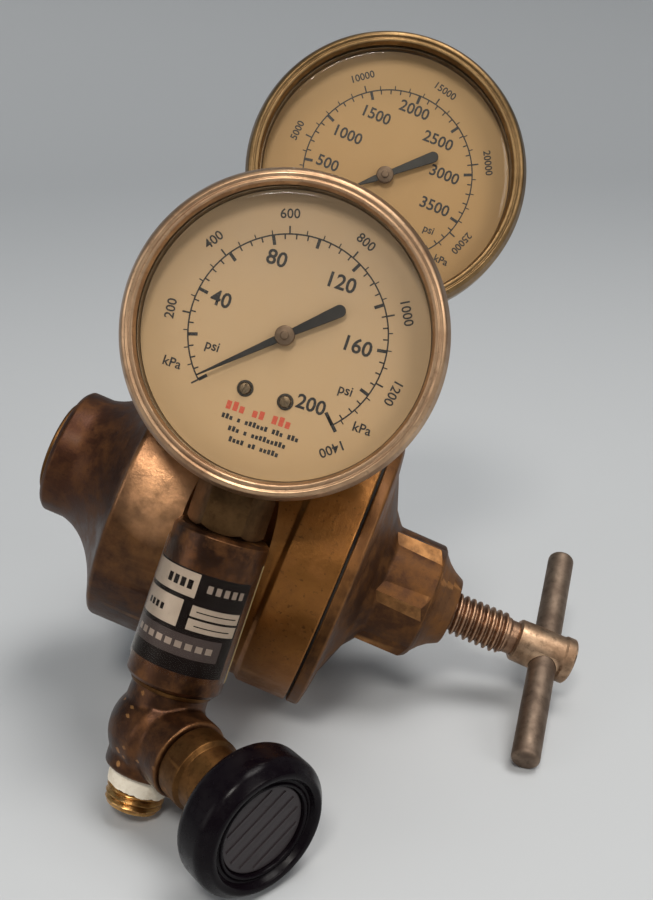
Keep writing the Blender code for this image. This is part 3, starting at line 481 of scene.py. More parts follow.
def studio():
    """A pale floor that curves up far behind the object on all sides, one soft sun and wide fill lights."""
    flat, wall, curve_end = 1300, 2200, 1100
    cove = [(0, 0), (0, flat)] + bend((0, flat), (0, wall), (curve_end, wall), 16)[1:]
    bm = turned(cove + [(curve_end + 1, wall + 2), (-2, wall + 2), (-2, 0)], 96)
    floor = added("floor", meshed("floor", bm, 40))
    paint = Paint("floor_paint", (0.48, 0.497, 0.514), 0.6, 0)
    grain = paint.patches(0.35, 0.65, 9, 4, 0.6)
    paint.colour(paint.blend(grain, (0.462, 0.481, 0.50), (0.496, 0.511, 0.526)))
    floor.data.materials.append(paint.material)

    sun = light("sun", "SUN", 1.25, (1.0, 0.97, 0.93), (-0.38, 0.06, -1))
    sun.angle = math.radians(24)
    middle = Vector((0, 0, 0.07))
    for name, place, size, watts, colour in (
            ("key", (-0.06, -0.66, 0.88), 0.22, 4.6, (1.0, 0.95, 0.88)),
            ("overhead", (0.20, 0.05, 0.95), 0.40, 2.2, (1.0, 0.96, 0.91)),
            ("right", (0.72, -0.60, 0.55), 0.40, 2.8, (1.0, 0.96, 0.90)),
            ("left", (-0.85, -0.50, 0.40), 0.50, 1.5, (1.0, 0.96, 0.92))):
        light(name, "AREA", watts, colour, middle - Vector(place), place).size = size
    world = bpy.data.worlds.new("studio")
    bpy.context.scene.world = world
    world.use_nodes = True
    sky = world.node_tree.nodes["Background"]
    sky.inputs["Color"].default_value = (0.80, 0.88, 0.95, 1)
    sky.inputs["Strength"].default_value = 0.25
    bpy.context.scene.view_settings.view_transform = "Standard"


# ---- mesh helpers

def around(radius, turn, height=0.0):
    """The point at a radius and a turn (radians) about z."""
    return radius * math.cos(turn), radius * math.sin(turn), height


def full_circle(steps):
    return [math.tau * k / steps for k in range(steps)]


def smoothed(share):
    """0 to 1, slow at both ends."""
    return share * share * (3 - 2 * share)


def bend(start, control, end, steps):
    """A smooth bend from start to end, pulled towards control."""
    made = []
    for k in range(steps + 1):
        t = k / steps
        made.append(tuple((1 - t) ** 2 * a + 2 * t * (1 - t) * b + t * t * c
                          for a, b, c in zip(start, control, end)))
    return made


def rounded(corners, fillet=0.4, steps=4):
    """An outline whose corners (height, radius[, own fillet]) are rounded, all in mm."""
    straight = math.radians(86)
    made = []
    for k, corner in enumerate(corners):
        here = Vector(corner[:2])
        size = corner[2] if len(corner) > 2 else fillet
        if k in (0, len(corners) - 1) or size == 0:
            made.append(tuple(here))
            continue
        back = Vector(corners[k - 1][:2]) - here
        on = Vector(corners[k + 1][:2]) - here
        half = back.angle(on) / 2
        if half > straight:
            made.append(tuple(here))
            continue
        reach = min(size / math.tan(half), back.length * 0.45, on.length * 0.45)
        made += bend(here + back.normalized() * reach, here, here + on.normalized() * reach, steps)
    return made


def turned(outline, steps=96):
    """Spins an outline of (height, radius) in mm about z. It closes on the axis, or back on itself."""
    bm = bmesh.new()
    verts = [bm.verts.new((radius * MM, 0, height * MM)) for height, radius in outline]
    edges = [bm.edges.new(pair) for pair in zip(verts, verts[1:])]
    if outline[0][1] > 0 or outline[-1][1] > 0:
        edges.append(bm.edges.new((verts[-1], verts[0])))
    bmesh.ops.spin(bm, geom=verts + edges, cent=(0, 0, 0), axis=(0, 0, 1), angle=math.tau,
                   steps=steps, use_merge=True)
    return bm


def lathe(corners, fillet=0.4, steps=96):
    """A turned solid from an outline with rounded corners."""
    return turned(rounded(corners, fillet), steps)


def rod(low, high, radius, steps=96):
    """A plain cylinder about z."""
    return turned([(low, 0), (low, radius), (high, radius), (high, 0)], steps)


def prism(corners, low, high):
    """Extrudes a flat outline of (x, y) corners in mm from low to high."""
    bm = bmesh.new()
    face = bm.faces.new([bm.verts.new((x * MM, y * MM, low * MM)) for x, y in corners])
    made = bmesh.ops.extrude_face_region(bm, geom=[face])["geom"]
    raised = [item for item in made if isinstance(item, bmesh.types.BMVert)]
    bmesh.ops.translate(bm, verts=raised, vec=(0, 0, (high - low) * MM))
    return bm


def box(left, right, front, back, low, high):
    return prism([(left, front), (right, front), (right, back), (left, back)], low, high)


def hexagon(flats, low, high):
    """A hexagonal prism, by its width across flats."""
    radius = flats / 2 / math.cos(math.pi / 6)
    return prism([around(radius, turn)[:2] for turn in full_circle(6)], low, high)


def lofted(rings, ends="flat"):
    """A closed solid through rings of points in mm.

    Each end is flat, or a fan of faces to its middle, or the last ring is joined to the first.
    """
    bm = bmesh.new()
    rings = [[bm.verts.new(Vector(point) * MM) for point in ring] for ring in rings]
    following = rings[1:] + rings[:1] if ends == "joined" else rings[1:]
    count = len(rings[0])
    for before, after in zip(rings, following):
        for k in range(count):
            bm.faces.new((before[k], before[(k + 1) % count], after[(k + 1) % count], after[k]))
    if ends == "flat":
        bm.faces.new(rings[0])
        bm.faces.new(rings[-1][::-1])
    elif ends == "fan":
        for ring in (rings[0], rings[-1]):
            middle = bm.verts.new((0, 0, ring[0].co.z))
            for k in range(count):
                bm.faces.new((ring[k], ring[(k + 1) % count], middle))
    return bm


def surface(radius_at, low, high, rows, sides=72):
    """A closed round solid whose radius, in mm, is radius_at(height, turn)."""
    rings = []
    for row in range(rows + 1):
        height = low + (high - low) * row / rows
        rings.append([around(radius_at(height, turn), turn, height) for turn in full_circle(sides)])
    return lofted(rings, "fan")


def ridge_at(height, turn, pitch):
    """How high a right-hand helical ridge stands: 0 in its groove, 1 on its crest."""
    return 1 - abs(2 * ((height / pitch - turn / math.tau) % 1) - 1)


def thread(radius, depth, pitch, low, high, fade=0.8):
    """A right-hand thread: a helical ridge that fades out at both ends."""
    def radius_at(height, turn):
        ridge = min(1.0, max(0.0, ridge_at(height, turn, pitch) * 1.35 - 0.15))
        ends = min(1.0, (height - low) / fade, (high - height) / fade)
        return radius - depth * (1 - smoothed(ridge) * max(0.0, ends))
    rows_per_pitch = 12
    return surface(radius_at, low, high, int((high - low) / pitch * rows_per_pitch))


def coil(radius, wire, low, high, turns, travel, per_turn=28, sides=10):
    """A coil spring about z, whose coils still clear one another when its high end has moved by travel."""
    def moved(height):
        return height + travel * smoothed(min(1.0, max(0.0, (height - low) / (high - low))))

    def before_move(goal):
        """The height, by halving, that the move takes to goal."""
        below, above = low, high
        for _ in range(30):
            middle = (below + above) / 2
            below, above = (middle, above) if moved(middle) < goal else (below, middle)
        return below

    count = int(turns * per_turn)
    first, last = moved(low + wire / 2), moved(high - wire / 2)
    rings = []
    for k in range(count + 1):
        height = before_move(first + (last - first) * k / count)
        turn = math.tau * turns * k / count
        rings.append([around(radius + wire / 2 * math.cos(side), turn, height + wire / 2 * math.sin(side))
                      for side in full_circle(sides)])
    return lofted(rings)


def bent_bar(start, end, step, inner, outer, low, high):
    """A bar of rectangular section that bends round z between two angles, with a corner at each step."""
    steps = max(2, int(abs(end - start) / step))
    section = ((inner, low), (outer, low), (outer, high), (inner, high))
    turns = [math.radians(start + (end - start) * k / steps) for k in range(steps + 1)]
    return lofted([[around(radius, turn, height) for radius, height in section] for turn in turns])


def merged(*meshes):
    """Several bmeshes in one, which takes them over."""
    whole = bmesh.new()
    for bm in meshes:
        scratch = bpy.data.meshes.new("scratch")
        bm.to_mesh(scratch)
        bm.free()
        whole.from_mesh(scratch)
        bpy.data.meshes.remove(scratch)
    return whole


def placed(bm, matrix):
    bmesh.ops.transform(bm, matrix=matrix, verts=bm.verts)
    return bm


def smooth_shaded(mesh, sharp):
    """Shades a mesh smoothly but for the edges sharper than an angle in degrees."""
    mesh.shade_smooth()
    mesh.set_sharp_from_angle(angle=math.radians(sharp))
    return mesh


def meshed(name, bm, sharp):
    """A mesh from a bmesh, cleaned of double points and with its normals out."""
    bmesh.ops.remove_doubles(bm, verts=bm.verts, dist=2e-6)
    bmesh.ops.recalc_face_normals(bm, faces=bm.faces)
    mesh = bpy.data.meshes.new(name)
    bm.to_mesh(mesh)
    bm.free()
    return smooth_shaded(mesh, sharp)


def shaped(name, bm, place, finish, slot, *replaced, sharp=40):
    """One visible object from a bmesh, standing for CAD nodes."""
    obj = added(name, meshed(name, bm, sharp))
    obj.data.materials.append(FINISHES[finish])
    obj.matrix_world = place
    if replaced:
        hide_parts(*replaced)
    return obj


PIECES = []


def piece(name, bm, place, finish, slot, *replaced, body="regulator", sharp=40):
    """One visible piece that rides on a body."""
    obj = shaped(name, bm, place, finish, slot, *replaced, sharp=sharp)
    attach(obj, body)
    PIECES.append(obj)
    return obj


def settle(obj):
    """Moves a finished piece's place into its mesh, and keeps each point's own place for the materials."""
    mesh = obj.data
    own = mesh.attributes.new(OWN_PLACE, "FLOAT_VECTOR", "POINT")
    for vert, stored in zip(mesh.vertices, own.data):
        stored.vector = vert.co
    mesh.transform(obj.matrix_world)
    obj.matrix_world = Matrix.Identity(4)


def baked(obj, sharp=40):
    """Applies the modifiers of a piece to its mesh."""
    graph = bpy.context.evaluated_depsgraph_get()
    mesh = bpy.data.meshes.new_from_object(obj.evaluated_get(graph))
    obj.modifiers.clear()
    obj.data = smooth_shaded(mesh, sharp)


def boolean(obj, operation, bm, place):
    """Combines a piece with a helper mesh, at once."""
    helper = added("helper", meshed("helper", bm, 40))
    helper.matrix_world = place
    change = obj.modifiers.new(operation, "BOOLEAN")
    change.operation = operation
    change.object = helper
    baked(obj)
    mesh = helper.data
    bpy.data.objects.remove(helper)
    bpy.data.meshes.remove(mesh)


def cut(obj, bm, place):
    """Takes a helper mesh out of a piece."""
    boolean(obj, "DIFFERENCE", bm, place)


def soften(obj, width):
    """Rounds the edges of a piece."""
    bevel = obj.modifiers.new("bevel", "BEVEL")
    bevel.width = width * MM
    bevel.segments = 3
    bevel.limit_method = "ANGLE"
    bevel.angle_limit = math.radians(28)
    baked(obj)


def hex_piece(name, flats, low, high, barrel, place, finish, slot, *replaced, body="regulator", width=0):
    """A hexagon whose corners are turned off to the barrel's outline, then softened over a width."""
    obj = piece(name, hexagon(flats, low, high), place, finish, slot, *replaced, body=body)
    boolean(obj, "INTERSECT", barrel, place)
    if width:
        soften(obj, width)
    return obj


def melted(obj, voxel, passes):
    """Runs overlapping shells together like a casting, with soft inner corners."""
    remesh = obj.modifiers.new("remesh", "REMESH")
    remesh.mode = "VOXEL"
    remesh.voxel_size = voxel * MM
    smooth = obj.modifiers.new("smooth", "SMOOTH")
    smooth.factor = 0.5
    smooth.iterations = passes
    baked(obj, 60)


# ---- body, bonnet and springs

def build_body():
    bell_low, bell_high = (-71, 16.5), (-55.2, 33.6)
    outline = ([(-77.4, 0), (-77.4, 14.2)]
               + rounded([(-77.4, 14.2), (-77.4, 15.3), (-76.2, 16.5), (-72, 16.5)], 1)
               + bend(bell_low, (-61.5, 18.3), bell_high, 14)
               + rounded([bell_high, (-54.2, BODY_RADIUS, 1.6), (-14.4, BODY_RADIUS, 0.9),
                          (-13.2, FLANGE_RADIUS, 0.9), (-0.3, FLANGE_RADIUS, 0.6), (-0.3, BODY_RADIUS, 0),
                          (-0.8, BODY_RADIUS, 0), (-0.8, 20)])
               + [(-0.8, 0)])
    body = piece("body_shell", turned(outline, LARGE_STEPS), ALONG_X, "body", "brass_casting", "body_casting")
    cut(body, rod(-40, 20, COLUMN_RADIUS + 1), COLUMN)

    boss = lathe([(30, 0), (30, 13.5, 0), (34, 11.6, 2), (37.5, 9.7, 2), (48.6, 9.5, 0.8), (49.6, 8.7),
                  (49.6, 7), (40, 7), (40, 0)])
    piece("gauge_boss", boss, BENCH @ shift(*SUPPLY_PLACE[:2], 0), "boss", "brass_casting")
    boss = lathe([(26, 0), (26, 16), (35.5, 14.0, 3), (38, 12.2, 2), (43.2, 12, 0.6), (44, 11.2), (44, 7),
                  (30, 7), (30, 0)])
    piece("inlet_boss", boss, INLET, "boss", "brass_casting")

    cap = lathe([(-77.2, 0), (-77.2, 12.4), (-78.7, 12.4, 0.5), (-79, 12.0), (-79, 6.6), (-78.2, 6.2),
                 (-78.2, 0)], 0.3)
    cap_piece = piece("boss_cap", cap, ALONG_X, "gland", "machined_brass", "end_cap")
    key_flats = 7.2
    cut(cap_piece, hexagon(key_flats, -82, -77.9), ALONG_X)

    rim = lathe([(-0.75, 30), (-0.75, 35.8), (0.75, 35.8), (0.75, 30)], 0.2, LARGE_STEPS)
    piece("diaphragm_edge", rim, ALONG_X, "rubber", "rubber", "diaphragm")


def build_bonnet():
    skin = lathe([(0.8, 0), (0.8, BODY_RADIUS, 0), (0.3, BODY_RADIUS, 0), (0.3, FLANGE_RADIUS, 0.6),
                  (3.2, FLANGE_RADIUS, 0.8), (3.9, 34, 1), (4.8, 28, 3), (8.2, 19, 3), (11, 15.4, 1.5),
                  (23.7, 15.2, 0.8), (24.8, 13.4, 1), (26.4, 11.6, 1), (28.3, 10.1, 1), (31, 8.7, 0.8),
                  (31, 5.8), (24, 5.8), (24, 0)], steps=LARGE_STEPS)
    piece("bonnet_shell", skin, ALONG_X, "bonnet", "brass_casting", "bonnet")
    barrel = lathe([(6, 0), (6, 15.0), (9.4, 16.75, 0.6), (21.9, 16.75, 0.9), (24.3, 14.4), (24.3, 0)],
                   steps=LARGE_STEPS)
    hex_piece("bonnet_hex", BONNET_FLATS, 6.5, 24.4, barrel, ALONG_X, "bonnet", "brass_casting", width=0.45)


def build_spring(name, node, radius, wire, low, high, turns, travel):
    """A spring whose coils still clear one another when its high end has moved by travel."""
    obj = shaped(name, coil(radius, wire, low, high, turns, travel), ALONG_X, "steel", "steel", node)
    settle(obj)
    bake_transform(obj)


# ---- adjusting screw and T-handle

def build_adjuster():
    ridges = thread(SCREW_RADIUS, 0.95, SCREW_PITCH, 20.5, 46.2)
    neck = lathe([(45, 0), (45, 4.7, 0), (46.4, 4.7), (47, 4.35), (49.2, 4.35), (49.2, 0)],
                 steps=MIDDLE_STEPS)
    piece("screw_thread", merged(ridges, neck), ALONG_X, "screw", "worn_steel", "adjusting_screw",
          body="adjuster")
    hub = lathe([(48.9, 0), (48.9, 4.9), (49.5, 5.5, 0.4), (53.2, 5.6), (61.2, 5.6), (61.9, 6.0),
                 (64.0, 6.0, 0.4), (64.5, 5.4, 0.2), (64.5, 0)], 0.3)
    collar = piece("tee_hub", hub, ALONG_X, "hub", "worn_steel", body="adjuster")
    cut(collar, rod(-12, 12, TEE_RADIUS + 0.12, MIDDLE_STEPS), TEE)

    half = TEE_LENGTH / 2
    bar = rounded([(-half, 0), (-half, TEE_RADIUS, 1.4), (3 - half, TEE_RADIUS, 0),
                   (half - 3, TEE_RADIUS, 0), (half, TEE_RADIUS, 1.6), (half, 0)], steps=7)
    piece("tee_rod", worn_rod(bar), TEE, "tee", "dark_steel", "tee_bar", body="adjuster")


def worn_rod(outline):
    """A turned rod with shallow, uneven wear along it."""
    deepest, grain, core = 0.05 * MM, 260, 2 * MM
    bm = turned(outline, MIDDLE_STEPS)
    for vert in bm.verts:
        level = Vector((vert.co.x, vert.co.y, 0))
        if level.length > core:
            vert.co -= level.normalized() * abs(deepest * noise.noise(vert.co * grain))
    return bm


# ---- outlet column, label and needle valve

def build_column():
    tube = lathe([(-33.3, 0), (-33.3, 10.2), (-32.4, COLUMN_RADIUS, 0.5), (1.6, COLUMN_RADIUS, 0.5),
                  (2.4, 10.2, 0.3), (2.4, 6.8), (-4, 6.8), (-4, 0)])
    piece("column_tube", tube, COLUMN, "column", "brass_casting", "outlet_column")


def plate(base, thickness, start, end, low, high):
    """A curved plate on the column, between two angles from the label's middle."""
    from_front = LABEL_TURN - 90
    return bent_bar(start + from_front, end + from_front, 3, base, base + thickness, low, high)


def build_label():
    """A foil label: fields, rules and rows of plain blocks, under one wrap of clear tape."""
    ground, field, rule, film = 11.1, 11.2, 11.24, 11.3
    film_low, film_high = -29.2, -1.8

    def layer(name, finish, plates, *replaced):
        piece(name, merged(*plates), COLUMN, finish, "label", *replaced)

    layer("label_ground", "label_black", [plate(ground, 0.10, -116, 46, -28.2, -6.2)], "label_sleeve")
    fields = ((-112, -19, -11.8, -6.5), (-112, -29, -18.8, -12.8), (-18, 43, -18.6, -13.2))
    layer("label_fields", "label_silver", [plate(field, 0.04, *ends) for ends in fields])
    layer("label_band", "label_grey", [plate(field, 0.03, -112, 30, -24.6, -19.8)])
    rules = [(-18, 43, -16.1, -15.6), (-12, 38, -14.5, -14.25), (-10, 34, -17.6, -17.35)]
    rules += [(9 * k - 58, 9 * k - 52, -10.2, -8.2) for k in range(4)]
    rules += [(8 * k - 80, 8 * k - 75, -16.6, -15.2) for k in range(4)]
    layer("label_rules", "label_black", [plate(rule, 0.02, *ends) for ends in rules])
    blocks = [plate(field, 0.04, -8 + 10 * k, -2 + 10 * k, -9.9, -8.2) for k in range(5)]
    blocks += [plate(rule, 0.02, -84 + 12 * k, -76 + 12 * k, -22.9, -21.5) for k in range(9)]
    layer("label_blocks", "label_dull", blocks)
    left, right = -118 - LABEL_TURN, 78 - LABEL_TURN
    layer("tape_film", "film", [plate(film, 0.10, left, right, film_low, film_high)])
    # The tape's cut edge, a yellowish strip: a painted highlight line along it.
    layer("tape_rim_highlight", "film_edge_highlight", [plate(film, 0.14, right - 0.8, right + 1.0, film_low, film_high)])


def build_valve():
    dome_radius, dome_steps = 10.8, 20
    turns = [math.pi / 2 * k / dome_steps for k in range(dome_steps + 1)]
    dome = [(-dome_radius * math.cos(turn), dome_radius * math.sin(turn)) for turn in turns]
    barrel = dome + rounded([(0, dome_radius), (4.6, 10.4, 1), (7, 9.2, 0.8), (14, 9.2), (14, 0)])[1:]
    neck = lathe([(-54.4, 0), (-54.4, 9, 0.8), (-46, 9.1, 2), (-38, 9.0, 2), (-33.6, 8.8, 0.2), (-33.6, 0)])
    shells = merged(turned(barrel), placed(neck, VALVE.inverted() @ COLUMN))
    elbow = piece("valve_casting", shells, VALVE, "valve", "brass_casting", "valve_body")
    melted(elbow, voxel=0.32, passes=9)

    foot = lathe([(-34.6, 7), (-34.6, 9.3, 0.3), (-33.5, 9.5, 0.3), (-33.5, 7)])
    piece("foot_ring", foot, COLUMN, "gland", "machined_brass")
    gland = lathe([(14.3, 0), (14.3, 8.4), (20, 8.4), (20.8, 7.5), (27.4, 7.0, 0.7), (27.4, 3.4), (24, 3.2),
                   (24, 0)])
    piece("gland_nut", gland, VALVE, "gland", "machined_brass", "valve_bonnet")
    stem = lathe([(26, 0), (26, 2.4), (38, 2.4), (38, 0)], 0.2, SMALL_STEPS)
    piece("spindle", stem, VALVE, "steel", "steel", "valve_stem", body="valve_spindle")


def build_knob():
    """A moulded knob: full round shoulders, a rolled front rim and a sunk face."""
    outline = rounded([(30.4, 0), (30.4, 12.2, 1.5), (32.6, KNOB_RADIUS, 3.2), (39.8, KNOB_RADIUS, 3.0),
                       (42.3, 13.4, 1.6), (42.1, 12.2, 0.8), (40.6, 11.5, 0.5), (40.7, 10.9, 0.4),
                       (41.2, 10.5, 0.4), (41.0, 10.0, 0.4), (39.6, 9.8, 0.3), (39.6, 0)], steps=8)
    piece("knob_shell", turned(outline, LARGE_STEPS), VALVE, "knob", "black_plastic", "valve_knob",
          body="knob")
    disc = [lathe([(39.3, 0), (39.3, 9.9), (40.3, 9.7, 0.3), (40.3, 0)], 0.2)]
    bars_radius, spacing, half_bar = 9.0, 3.2, 0.55
    for k in range(-2, 3):
        middle = k * spacing
        reach = math.sqrt(bars_radius ** 2 - middle ** 2)
        bar = box(-reach, reach, middle - half_bar, middle + half_bar, 40.0, 40.55)
        bmesh.ops.bevel(bar, geom=bar.edges, offset=0.22 * MM, segments=2, affect="EDGES")
        disc.append(placed(bar, turn_z(-35)))
    piece("knob_disc", merged(*disc), VALVE, "disc", "black_plastic", "knob_insert", body="knob")


def build_nipple():
    """The threaded outlet, tapered and bored."""
    crest_to_root, lead_in, straight_to, top = 0.75, 1.2, -56, -48.3

    def radius_at(height, turn):
        ridge = ridge_at(height, turn, PIPE_PITCH) * max(0.0, min(1.0, (height - NIPPLE_END) / lead_in))
        return NIPPLE_RADIUS - crest_to_root * (1 - ridge) - max(0.0, straight_to - height) * PIPE_TAPER

    nipple = surface(radius_at, NIPPLE_END, top, 110)
    solid = piece("nipple_thread", nipple, COLUMN, "brass", "machined_brass", "outlet_nipple")
    bore = turned([(-64, 0), (-64, 3.2), (-62, 2.6), (-49, 2.6), (-49, 0)], SMALL_STEPS)
    cut(solid, bore, COLUMN)


def build_tape():
    """Thread-seal tape, wound unevenly, with a frayed lower edge."""
    rows, sides, low, width, radius = 14, 120, -58.2, 3.9, 7.05
    rings = []
    for row in range(rows + 1):
        share = row / rows
        ring = []
        for turn in full_circle(sides):
            flat = Vector(around(1, turn))
            fray = 0.55 * noise.noise(flat * 2.4 + Vector((0, 0, 3))) + 0.2 * noise.noise(flat * 9)
            height = low + fray + (width - fray) * share
            wrinkle = 0.14 * noise.noise(Vector((flat.x * 5, flat.y * 5, height * 2.2)))
            ring.append(around(radius + 0.22 * math.sin(share * math.pi) + wrinkle, turn, height))
        rings.append(ring)
    inner = [[(x * 0.93, y * 0.93, z) for x, y, z in ring] for ring in (rings[-1], rings[0])]
    piece("seal_tape", lofted(rings + inner, "joined"), COLUMN, "ptfe", "ptfe", "thread_tape", sharp=70)


# ---- inlet

def build_inlet():
    pipe, bore = 6.4, 6.8
    stem = lathe([(40, 0), (40, 7), (44.2, 7), (44.2, 8.5), (46, 8.5), (46.2, pipe), (67.8, pipe),
                  (69, 8.4, 0.5), (73, 8.4, 0.8), (79, 5, 0.5), (79, 2.6, 0.2), (74, 2.6), (74, 0)], 0.3)
    piece("inlet_stem", stem, INLET, "brass", "machined_brass", "inlet_nipple")
    barrel = lathe([(52, 0), (52, 14.4, 0.3), (53.6, 16.4, 0.5), (61.4, 16.4, 0.5), (63, 14.4, 0.3), (63, 0)])
    nut = hex_piece("nut_hex", NUT_FLATS, 52, 63, barrel, INLET, "bonnet", "brass_casting", "inlet_nut",
                    body="inlet_nut", width=0.35)
    cut(nut, rod(50, 66, bore), INLET)
    threaded = piece("nut_thread", thread(10.4, 0.8, 25.4 / 14, 62, 77), INLET, "gland", "brass_casting",
                     body="inlet_nut")
    hollow = turned([(60, 0), (60, bore), (68.4, bore), (68.6, 8.8), (79, 8.8), (79, 0)])
    cut(threaded, hollow, INLET)


# ---- gauges

def polar(radius, angle):
    return around(radius, math.radians(angle))[:2]


def tick(angle, inner, outer, width):
    """A dial mark: a flat bar along the radius at an angle in degrees."""
    return placed(box(inner, outer, -width / 2, width / 2, 0.0, INK_HEIGHT), turn_z(angle))


def words(text, size, x, y, turn=0.0, bold=0.04):
    """Raised lettering for a dial, centred at x, y in mm and turned by degrees."""
    curve = bpy.data.curves.new("words", "FONT")
    curve.body = text
    curve.size = size * MM
    curve.align_x = "CENTER"
    curve.align_y = "CENTER"
    curve.extrude = INK_HEIGHT / 2 * MM
    curve.offset = bold * MM
    curve.resolution_u = 3
    holder = added("words", curve)
    bpy.context.view_layer.update()
    mesh = bpy.data.meshes.new_from_object(holder.evaluated_get(bpy.context.evaluated_depsgraph_get()))
    bpy.data.objects.remove(holder)
    bm = bmesh.new()
    bm.from_mesh(mesh)
    bpy.data.meshes.remove(mesh)
    return placed(bm, shift(x, y, INK_HEIGHT / 2) @ turn_z(turn))


def block_line(x, y, cell, height, lengths):
    """A printed line centred at x, y: words of plain upright blocks, in place of letters."""
    step = cell * 1.4
    shares = (1.0, 0.72, 0.72, 0.9)
    start = x - (sum(lengths) + len(lengths) - 1) * step / 2
    base = y - height / 2
    made = []
    for length in lengths:
        for k in range(length):
            tall = height * shares[(length + k) % len(shares)]
            made.append(box(start, start + cell, base, base + tall, 0.0, 0.04))
            start += step
        start += step
    return made


def number_inside(value, size, reach, angle, bold):
    """A scale number, upright, whose box just stays within reach of the dial's centre."""
    half_width, half_height = 0.28 * size * len(str(value)), 0.36 * size
    turn = math.radians(angle)
    radius = reach - abs(math.cos(turn)) * half_width - abs(math.sin(turn)) * half_height
    return words(str(value), size, *polar(radius, angle), bold=bold)


def number_outside(value, size, radius, angle):
    """A scale number that reads along the circle."""
    return words(str(value), size, *polar(radius, angle), turn=angle - 90)


def angle_of(value, full):
    """Where a value stands on a scale that ends at full."""
    return DIAL_START - DIAL_SWEEP * value / full


def scale_marks(full, circle, major, minor, kpa_major, kpa_minor):
    """Two scales on one circle: psi inside, with an arc and thick major marks, and kPa outside."""
    marks = [bent_bar(DIAL_START, DIAL_START - DIAL_SWEEP, 2, circle - 0.16, circle + 0.16, 0,
                      INK_HEIGHT)]
    for value in range(0, full + 1, minor):
        length, width = (2.1, 0.70) if value % major == 0 else (1.1, 0.30)
        marks.append(tick(angle_of(value, full), circle - length, circle, width))
    full_kpa = full * KPA_PER_PSI
    for value in range(0, int(full_kpa) + 1, kpa_minor):
        length, width = (1.7, 0.36) if value % kpa_major == 0 else (1.0, 0.24)
        marks.append(tick(angle_of(value, full_kpa), circle + 0.1, circle + length, width))
    return marks


def scale_numbers(full, values, size, reach, bold, kpa_values, kpa_size, kpa_radius):
    """The numbers of both scales: upright psi inside, and kPa along the circle outside."""
    inside = [number_inside(value, size, reach, angle_of(value, full), bold) for value in values]
    outside = [number_outside(value, kpa_size, kpa_radius, angle_of(value, full * KPA_PER_PSI))
               for value in kpa_values]
    return inside + outside


def units(size, places):
    """The units' names, each at (text, radius, angle)."""
    return [words(text, size, *polar(radius, angle)) for text, radius, angle in places]


def small_print(lines):
    """Rows of small blocks under the screws, each (y, lengths of its words)."""
    return [block for y, lengths in lines for block in block_line(0.8, y, 0.62, 1.15, lengths)]


def delivery_print():
    """The black and the red print of the low-pressure dial: 0 to 200 psi inside, kPa outside."""
    circle, full = 21.3, 200
    marks = scale_marks(full, circle, 20, 5, 200, 50)
    marks += scale_numbers(full, (40, 80, 120, 160), 4.5, circle - 2.5, 0.09,
                           range(200, 1400, 200), 2.9, 25.5)
    marks += [words("200", 4.3, *polar(15.7, -53), bold=0.09), number_outside(1400, 2.9, 25.9, -50)]
    marks += units(2.9, (("psi", 16.2, 207), ("psi", 17.0, -25), ("kPa", 25.4, 212), ("kPa", 25.4, -33)))
    marks.append(tick(DIAL_START - DIAL_SWEEP, circle - 3.0, circle + 1.6, 0.75))
    marks += small_print(((-20.4, (3, 1, 6, 3, 3)), (-22.6, (3, 1, 9)), (-24.8, (4, 2, 5))))
    return marks, block_line(-0.3, -17.9, 1.05, 2.0, (3, 2, 3))


def supply_print():
    """The black and the red print of the high-pressure dial: 0 to 4000 psi inside, kPa outside."""
    circle, full = 21.2, 4000
    marks = scale_marks(full, circle, 500, 100, 5000, 1000)
    marks += scale_numbers(full, range(500, full, 500), 3.9, circle - 2.4, 0.07,
                           range(5000, 26000, 5000), 2.5, 25.2)
    marks.append(words("4000", 3.9, *polar(16.2, -55), bold=0.07))
    marks += units(2.6, (("psi", 16.2, 206), ("psi", 17.2, -30), ("kPa", 25.2, 212), ("kPa", 25.2, -35)))
    marks += small_print(((-20.2, (3, 1, 6, 3, 3)), (-22.4, (3, 1, 9))))
    return marks, block_line(0.6, -17.5, 0.95, 1.7, (3, 2, 3))


def pointer_outline(tip, tail):
    """A pointer along +x: a needle tip that widens to the hub, and a broad tail with a round end."""
    half, tip_half = 1.35, 0.16
    turns = [math.pi * k / 12 for k in range(13)]
    end = [(half - tail - half * math.sin(turn), half * math.cos(turn)) for turn in turns]
    blade = [(-1.5, -0.75), (2.6, -0.8), (tip, -tip_half), (tip, tip_half), (2.6, 0.8), (-1.5, 0.75)]
    return blade + end


